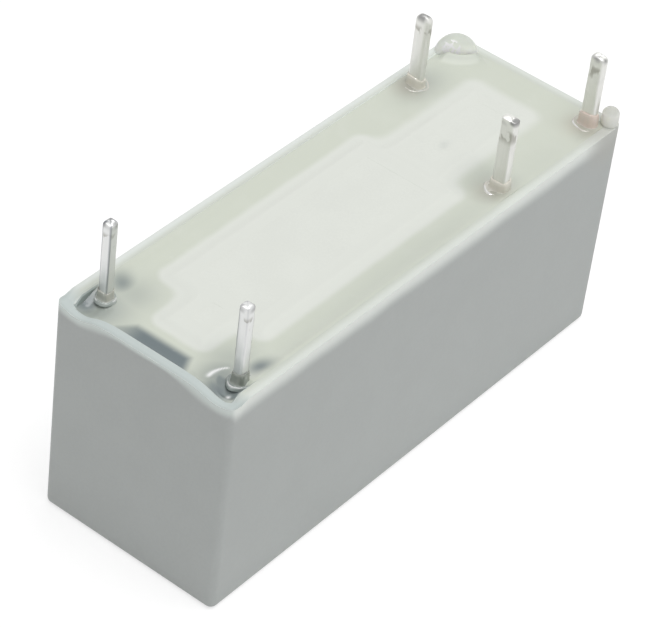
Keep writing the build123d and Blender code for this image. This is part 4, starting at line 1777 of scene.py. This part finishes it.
    def build_resin(self) -> Obj:
        """Makes the resin as a closed sheet in the gutter that thins to a film on the plateau's edge.

        Returns:
            The piece.
        """
        half_length, half_width = BOX.cavity()
        half = (half_length + self.wall_overlap, half_width + self.wall_overlap)
        x, y = self.plan_grid(half, self.cavity_corner + self.wall_overlap)
        top = np.stack([x, y, self.resin_height(x, y)], axis=-1)
        rows, columns = x.shape
        quads = grid_quads(rows, columns)
        inward = self.plateau_distance(x, y).ravel()
        quads = quads[inward[quads].max(axis=1) > -self.film_reach]
        used, quads = np.unique(quads, return_inverse=True)
        quads = quads.reshape(-1, 4)
        layers = {key: values.ravel()[used] for key, values in self.layers(x, y).items()}
        made = mesh_object("resin_pool", top.reshape(-1, 3)[used], quads.tolist(), layers)
        bm = bmesh.new()
        bm.from_mesh(made.data)
        under = bmesh.ops.extrude_face_region(bm, geom=bm.faces[:], use_keep_orig=True)
        for vert in (v for v in under["geom"] if isinstance(v, bmesh.types.BMVert)):
            vert.co.z -= self.sheet
        tidy_mesh(bm, made)
        return made

    def build(self) -> list[Obj]:
        """Makes and places both pieces.

        Returns:
            The base and the resin.
        """
        base = self.build_base()
        resin = self.build_resin()
        settle(base, "housing", BASE, ["base"])
        settle(resin, "housing", RESIN, ["sealing_resin"])
        return [base, resin]


# each row: share of the way from the pin's skin to the full radius, and height over the pool
COLLAR_PROFILE = np.array(
    [
        (1.25, -0.12),
        (1.12, -0.02),
        (1.0, 0.04),
        (0.9, 0.07),
        (0.8, 0.06),
        (0.68, 0.03),
        (0.56, 0.02),
        (0.46, 0.03),
        (0.36, 0.07),
        (0.29, 0.15),
        (0.26, 0.26),
        (0.25, 0.38),
        (0.22, 0.5),
        (0.16, 0.6),
        (0.08, 0.65),
        (0.0, 0.655),
        (-0.1, 0.6),
    ]
)


@dataclass(frozen=True)
class PinSet:
    """The five pins above the deck and the resin collars at their feet."""

    deck: Deck
    around: int = 48
    shaft_rows: int = 42
    tip_rows: int = 13
    root: float = 11.3 * MM
    inset: float = 0.006 * MM
    lumpiness: float = 0.014
    slant: float = 0.04 * MM
    bead_share: float = 0.9

    def section(self, pin: PinForm, turn: np.ndarray, grow: float = 0.0) -> np.ndarray:
        """A pin's outline, the superellipse |x/a|^p + |y/b|^p = 1.

        Args:
            pin: The pin.
            turn: Angles round it.
            grow: What is added to both half sizes.

        Returns:
            The outline's places from the pin's middle.
        """
        half = pin.half()
        c = np.cos(turn)
        s = np.sin(turn)
        power = 2.0 / pin.round_power
        x = (half[0] + grow) * np.sign(c) * np.abs(c) ** power
        y = (half[1] + grow) * np.sign(s) * np.abs(s) ** power
        return np.stack([x, y], axis=-1)

    def build_pin(self, pin: PinForm) -> Obj:
        """Makes a pin: a tinned shaft with a soft tip over the frame's own inner part.

        Towards the tip its section shrinks by (1 - t^p)^(1/p), slow lumps swell it a little, and
        the tip slants. The corner layer marks the section's corners for painted dark reflections,
        most on the side turned left.

        Args:
            pin: The pin.

        Returns:
            The piece.
        """
        turn = np.linspace(0, 2 * math.pi, self.around, endpoint=False)
        tip = pin.tip()
        px, py = pin.centre()
        shaft = np.linspace(self.root, tip - pin.tip_length, self.shaft_rows)
        rise = np.linspace(0, 1, self.tip_rows + 2)[1:-1]
        levels = np.concatenate([shaft, tip - pin.tip_length * (1 - np.sin(rise * math.pi / 2))])
        t = np.clip((levels - (tip - pin.tip_length)) / pin.tip_length, 0, 1)
        scale = (1 - t**pin.tip_power) ** (1 / pin.tip_power)
        outline = self.section(pin, turn, -self.inset)
        x = px + outline[None, :, 0] * scale[:, None]
        y = py + outline[None, :, 1] * scale[:, None]
        z = np.repeat(levels[:, None], self.around, axis=1)
        lumps = ripple(turn[None, :] * 0.25 * MM + z, z * 0.6, 1.4 * MM, pin.seed)
        x = x + (x - px) * self.lumpiness * lumps
        y = y + (y - py) * self.lumpiness * lumps
        z = z + (t[:, None] ** 2) * self.slant * (np.cos(turn[None, :] + pin.seed) - 1)
        ring = np.stack([x, y, z], axis=-1).reshape(-1, 3)
        crown = np.array([[px, py, tip - 0.02 * MM]])
        faces = grid_quads(len(levels), self.around, closed=True).tolist()
        last = (len(levels) - 1) * self.around
        faces += [[last + k, last + (k + 1) % self.around, len(ring)] for k in range(self.around)]
        faces.append(list(range(self.around))[::-1])
        # painted dark reflections, strongest on the side turned left
        on_left = np.clip(np.cos(turn - math.radians(135)), 0, 1) ** 4
        by_corner = (np.abs(np.sin(2 * turn)) - 0.76 + 0.35 * on_left) / 0.22
        edge = pin.painted_corner_reflection * soft_step(0.0, 1.0, by_corner)
        corner = np.append(np.tile(edge, len(levels)), 0.0)
        name = pin.node.replace("terminal", "pin")
        made = mesh_object(name, np.vstack([ring, crown]), faces, {"corner": corner})
        bm = bmesh.new()
        bm.from_mesh(made.data)
        add_lower_part(bm, pin.node, self.root)
        tidy_mesh(bm, made)
        return made

    def build_collar(self, pin: PinForm) -> Obj:
        """Makes the drop of resin round a pin's foot, from a bead at the pool to a thin upper lip.

        Each row of the profile is skin + share (ring - skin), where the ring is a wavy circle. The
        core layer marks the thin upper part, and the glint layer short arcs along the bead.

        Args:
            pin: The pin.

        Returns:
            The piece.
        """
        turn = np.linspace(0, 2 * math.pi, 2 * self.around, endpoint=False)
        px, py = pin.centre()
        inwards = 1.6 * MM * (-1 if px > 0 else 1)
        pool = self.deck.resin_height(np.array([px + inwards]), np.array([py]))[0]
        out, rise = COLLAR_PROFILE.T
        share = out[:, None]
        skin = self.section(pin, turn, 0.01 * MM)
        ring = np.stack([np.cos(turn), np.sin(turn)], axis=-1) * pin.collar_radius
        wobble = 1 + 0.05 * np.sin(2 * turn + pin.seed) + 0.03 * np.sin(5 * turn + 3 * pin.seed)
        x = px + skin[None, :, 0] + share * (ring[None, :, 0] * wobble - skin[None, :, 0])
        y = py + skin[None, :, 1] + share * (ring[None, :, 1] * wobble - skin[None, :, 1])
        lift = 1 + 0.14 * np.sin(turn + 2 * pin.seed)
        z = pool + rise[:, None] * pin.collar_height / rise.max() * lift[None, :]
        half_length, half_width = BOX.cavity()
        x = np.clip(x, -half_length, half_length)
        y = np.clip(y, -half_width, half_width)
        core = np.repeat(soft_step(0.6, 0.3, out)[:, None], len(turn), axis=1)
        on_bead = np.exp(-(((out - self.bead_share) / 0.12) ** 2))[:, None]
        off = [np.abs((np.degrees(turn) - facing + 180) % 360 - 180) / reach for facing, reach in pin.glints]
        glint = on_bead * soft_step(1.0, 0.6, np.min(off, axis=0))[None, :]
        faces = grid_quads(len(COLLAR_PROFILE), len(turn), closed=True).tolist()
        name = pin.node.replace("terminal", "collar")
        return mesh_object(name, np.stack([x, y, z], axis=-1), faces, {"core": core, "glint": glint})

    def build(self) -> list[Obj]:
        """Makes and places all pins and collars.

        Returns:
            The pieces.
        """
        made = []
        for pin in PINS:
            finish = WIRE if pin in COIL_PINS else STRIP
            shaft = self.build_pin(pin)
            collar = self.build_collar(pin)
            settle(shaft, "housing", finish, [pin.node])
            settle(collar, "housing", pin.collar, [])
            made += [shaft, collar]
        return made


@dataclass(frozen=True)
class Winding:
    """The coil's outer layers of wire, side by side round the bobbin."""

    wire: float = 0.16 * MM
    sink: float = 0.05 * MM
    per_turn: int = 6
    around: int = 72
    bulge_power: float = 0.6
    corner_power: float = 0.55

    def build(self) -> Obj:
        """Makes rounded turns along the coil from the frame's own size.

        The section is a superellipse, drawn in by k (1 - |sin|^p) between the turns.

        Returns:
            The piece.
        """
        low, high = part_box("coil_winding")
        middle = (low + high) / 2
        half = (high - low) / 2
        turns = int((high.x - low.x) / self.wire)
        steps = np.arange(turns * self.per_turn + 1)
        x = low.x + (high.x - low.x) * steps / (turns * self.per_turn)
        bulge = np.abs(np.sin(math.pi * steps / self.per_turn)) ** self.bulge_power
        turn = np.linspace(0, 2 * math.pi, self.around, endpoint=False)
        c = np.cos(turn)
        s = np.sin(turn)
        inset = (self.sink * (1 - bulge))[:, None]
        y = middle.y + (half.y - inset) * np.sign(c) * np.abs(c) ** self.corner_power
        z = middle.z + (half.z - inset) * np.sign(s) * np.abs(s) ** self.corner_power
        points = np.stack([np.repeat(x[:, None], self.around, axis=1), y, z], axis=-1)
        faces = grid_quads(len(steps), self.around, closed=True).tolist()
        last = (len(steps) - 1) * self.around
        faces.append(list(range(self.around))[::-1])
        faces.append(list(range(last, last + self.around)))
        made = mesh_object("winding_turns", points, faces)
        settle(made, "housing", COPPER, ["coil_winding"])
        return made


@dataclass(frozen=True)
class CoverShell:
    """The box, whose rim at the coil end sinks softly in both corners.

    Each dip has its depth, its middle across the box and its reach.
    """

    sinks_from: float = 10.9 * MM
    inner_share: float = 0.33
    fades_over: float = 0.5 * MM
    round_edge: float = 0.4 * MM
    floor_edge: float = 0.34 * MM
    fine_cut: float = 0.2 * MM
    height_cuts: int = 5
    dips: tuple[Triple, ...] = (
        (0.36 * MM, 3.85 * MM, 0.95 * MM),
        (0.27 * MM, -4.05 * MM, 0.95 * MM),
    )

    def inner_end(self) -> float:
        """Finds the place of the end wall's inner side."""
        return -BOX.half_length + BOX.wall

    def sunk(self, points: np.ndarray) -> np.ndarray:
        """How far each point sinks: d exp(-((y - c) / r)^2), a third more at the wall's inner side.

        Args:
            points: Places on the box.

        Returns:
            The drop, full at the rim and none further down or past the end wall.
        """
        x, y, z = points.T
        inward = np.clip((x + BOX.half_length) / BOX.wall, 0, 1)
        drop = sum(depth * np.exp(-(((y - middle) / reach) ** 2)) for depth, middle, reach in self.dips)
        by_end = soft_step(self.inner_end() + self.fades_over, self.inner_end(), x)
        return drop * (1 + self.inner_share * inward) * by_end * soft_step(self.sinks_from, BOX.rim, z)

    def cut(self, bm: bmesh.types.BMesh) -> None:
        """Adds edges beside the rounded edges, so that flat faces stay flat, and finely by the end rim.

        Args:
            bm: The box's mesh.
        """
        length_edge = BOX.half_length - self.round_edge
        width_edge = BOX.half_width - self.round_edge
        fade_end = self.inner_end() + self.fades_over
        for x in (-length_edge, self.inner_end(), fade_end - self.fades_over / 2, fade_end, length_edge):
            cut_mesh(bm, (x, 0, 0), (1, 0, 0))
        for y in (-width_edge, width_edge):
            cut_mesh(bm, (0, y, 0), (0, 1, 0))
        for z in (self.floor_edge, *np.linspace(self.sinks_from, BOX.rim - 0.15 * MM, self.height_cuts)):
            cut_mesh(bm, (0, 0, float(z)), (0, 0, 1))
        for y in np.arange(-BOX.half_width + self.fine_cut, BOX.half_width, self.fine_cut):
            cut_mesh(bm, (0, float(y), 0), (0, 1, 0), within=fade_end)

    def build(self) -> Obj:
        """Makes the box from the frame's own mesh, with its rim sunk and its wide standoff pressed.

        Returns:
            The piece.
        """
        bm = bmesh.new()
        bm.from_mesh(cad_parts["cover"].data)
        bmesh.ops.remove_doubles(bm, verts=bm.verts, dist=WELD)
        self.cut(bm)
        made = mesh_object("cover_shell", np.zeros((0, 3)), [])
        tidy_mesh(bm, made)
        points = WIDE_STANDOFF.pressed(mesh_points(made.data).astype(float), BOX.cavity()[1])
        drop = self.sunk(points)
        points[:, 2] -= drop
        made.data.vertices.foreach_set("co", points.astype(np.float32).ravel())
        made.data.attributes.new("sunk", "FLOAT", "POINT").data.foreach_set("value", drop.astype(np.float32))
        made.data.update()
        settle(made, "housing", COVER, ["cover"])
        return made


def settle(made: Obj, body: str, finish: Finish, replaced: list[str]) -> None:
    """Gives a piece its material, its body and its place in the part.

    Args:
        made: The piece.
        body: The body that it moves with.
        finish: Its finish.
        replaced: The frame's nodes that it stands for.
    """
    made.data.materials.clear()
    made.data.materials.append(finish.material())
    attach(made, body)
    if replaced:
        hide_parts(*replaced)
    log.info("piece %s on %s, %d points", made.name, body, len(made.data.vertices))


NODE_FINISHES = {
    "coil_bobbin": BOBBIN,
    "coil_leads": COPPER,
    "iron_core": IRON,
    "yoke": IRON,
    "armature": IRON,
    "armature_spring": SPRING_STEEL,
    "card": CARD,
    "spring_foot": BRONZE,
    "contact_spring": BRONZE,
    "moving_contact": SILVER,
    "no_contact": SILVER,
    "nc_contact": SILVER,
    "com_rivets": BRASS,
}


def dress_nodes() -> None:
    """Gives each of the frame's own solids that keep their shape its material."""
    for node, finish in NODE_FINISHES.items():
        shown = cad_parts[node]
        shown.data.materials.clear()
        shown.data.materials.append(finish.material())
        log.info("node %s in %s", node, finish.name)


# Studio


@dataclass(frozen=True)
class Lamp:
    """A square soft lamp that looks at the object.

    Its level is the light it gives a surface that faces it, where 1 is plain.
    """

    name: str
    place: Triple
    width: float
    level: float
    lights_matte: bool = True

    def build(self) -> None:
        """Makes the lamp.

        One of P watts at a distance d lights a surface that faces it to a level of P / (pi d)^2.
        """
        data = bpy.data.lights.new(self.name, "AREA")
        data.shape = "SQUARE"
        data.size = self.width
        data.energy = self.level * (math.pi * Vector(self.place).length) ** 2
        lamp = bpy.data.objects.new(self.name, data)
        lamp.location = self.place
        lamp.rotation_euler = Vector(self.place).to_track_quat("Z", "Y").to_euler()
        lamp.visible_diffuse = self.lights_matte
        bpy.context.scene.collection.objects.link(lamp)
        log.info("lamp %s, %.3f W", self.name, data.energy)


@dataclass(frozen=True)
class Studio:
    """A white table, one broad lamp above, a small bright one for glints, and the camera."""

    camera_place: Triple = (-93.979 * MM, -63.319 * MM, 101.043 * MM)
    camera_aim: Triple = (-2.164 * MM, -1.101 * MM, 7.633 * MM)
    camera_roll_deg: float = 7.468
    lens_mm: float = 173.538
    sensor_mm: float = 36.0
    sight: Pair = (0.005, 5.0)
    room_level: float = 0.42
    floor_reach: float = 2.5
    floor_gap: float = 0.02 * MM
    floor_colour: Colour = srgb(232, 232, 232)
    floor_seen_colour: Colour = (0.4, 0.4, 0.4, 1.0)
    floor_glow: float = 0.7
    lamps: tuple[Lamp, ...] = (
        Lamp("key_lamp", (0.01, -0.075, 0.42), width=0.30, level=0.6),
        Lamp("glint_lamp", (-0.16, 0.06, 0.30), width=0.05, level=0.3, lights_matte=False),
    )

    def build(self) -> None:
        """Makes the camera, the world, the table and the lamps."""
        self.build_camera()
        self.build_world()
        self.build_floor()
        for lamp in self.lamps:
            lamp.build()

    def build_camera(self) -> None:
        """Sets up the camera at the photograph's place and roll."""
        data = bpy.data.cameras.new("camera")
        data.lens = self.lens_mm
        data.sensor_width = self.sensor_mm
        data.sensor_fit = "HORIZONTAL"
        data.clip_start, data.clip_end = self.sight
        camera = bpy.data.objects.new("camera", data)
        camera.location = self.camera_place
        line = Vector(self.camera_aim) - Vector(self.camera_place)
        look = line.to_track_quat("-Z", "Y").to_matrix()
        camera.rotation_euler = look.to_euler()
        camera.rotation_euler.rotate_axis("Z", math.radians(self.camera_roll_deg))
        bpy.context.scene.collection.objects.link(camera)
        bpy.context.scene.camera = camera

    def build_world(self) -> None:
        """Makes a plain world: soft light for the object, white for the camera and for gloss."""
        world = bpy.data.worlds.new("room")
        world.use_nodes = True
        world.node_tree.nodes.clear()
        graph = Graph(world.node_tree)
        soft = graph.add("ShaderNodeBackground", {"Color": WHITE, "Strength": self.room_level})
        white = graph.add("ShaderNodeBackground", {"Color": WHITE, "Strength": 1.0})
        shaders = {0: self.seen(graph), 1: soft.outputs[0], 2: white.outputs[0]}
        both = graph.add("ShaderNodeMixShader", shaders)
        graph.add("ShaderNodeOutputWorld", {"Surface": both.outputs[0]})
        bpy.context.scene.world = world

    def build_floor(self) -> None:
        """Makes the white table, which keeps the object's soft shadow."""
        x = self.floor_reach * np.array([-1.0, 1.0, 1.0, -1.0])
        y = self.floor_reach * np.array([-1.0, -1.0, 1.0, 1.0])
        corners = np.stack([x, y, np.full(4, -self.floor_gap)], axis=-1)
        floor = mesh_object("table_top", corners, [[0, 1, 2, 3]])
        made = bpy.data.materials.new("white_table")
        made.use_nodes = True
        made.node_tree.nodes.clear()
        graph = Graph(made.node_tree)
        matte = graph.add("ShaderNodeBsdfDiffuse", {"Color": self.floor_colour})
        pale = graph.add("ShaderNodeBsdfDiffuse", {"Color": self.floor_seen_colour})
        glow = graph.add("ShaderNodeEmission", {"Color": WHITE, "Strength": self.floor_glow})
        bright = graph.add("ShaderNodeAddShader", {0: pale.outputs[0], 1: glow.outputs[0]})
        shaders = {0: self.seen(graph), 1: matte.outputs[0], 2: bright.outputs[0]}
        both = graph.add("ShaderNodeMixShader", shaders)
        graph.add("ShaderNodeOutputMaterial", {"Surface": both.outputs[0]})
        floor.data.materials.append(made)

    @staticmethod
    def seen(graph: Graph) -> Socket:
        """Picks the rays that see white surroundings: the camera's and those in gloss and clear resin.

        Args:
            graph: The graph that gets the nodes.

        Returns:
            1 for those rays.
        """
        path = graph.add("ShaderNodeLightPath").outputs
        shine = graph.math("MAXIMUM", path["Is Glossy Ray"], path["Is Transmission Ray"])
        return graph.math("MAXIMUM", path["Is Camera Ray"], shine)


def main() -> None:
    """Builds the scene: studio, the other solids' materials, box, deck, pins and coil."""
    logging.basicConfig(level=logging.INFO, format="%(name)s: %(message)s")
    bpy.context.scene.view_settings.view_transform = "Standard"
    Studio().build()
    dress_nodes()
    CoverShell().build()
    deck = Deck()
    deck.build()
    PinSet(deck).build()
    Winding().build()


if __name__ == "__main__":
    main()
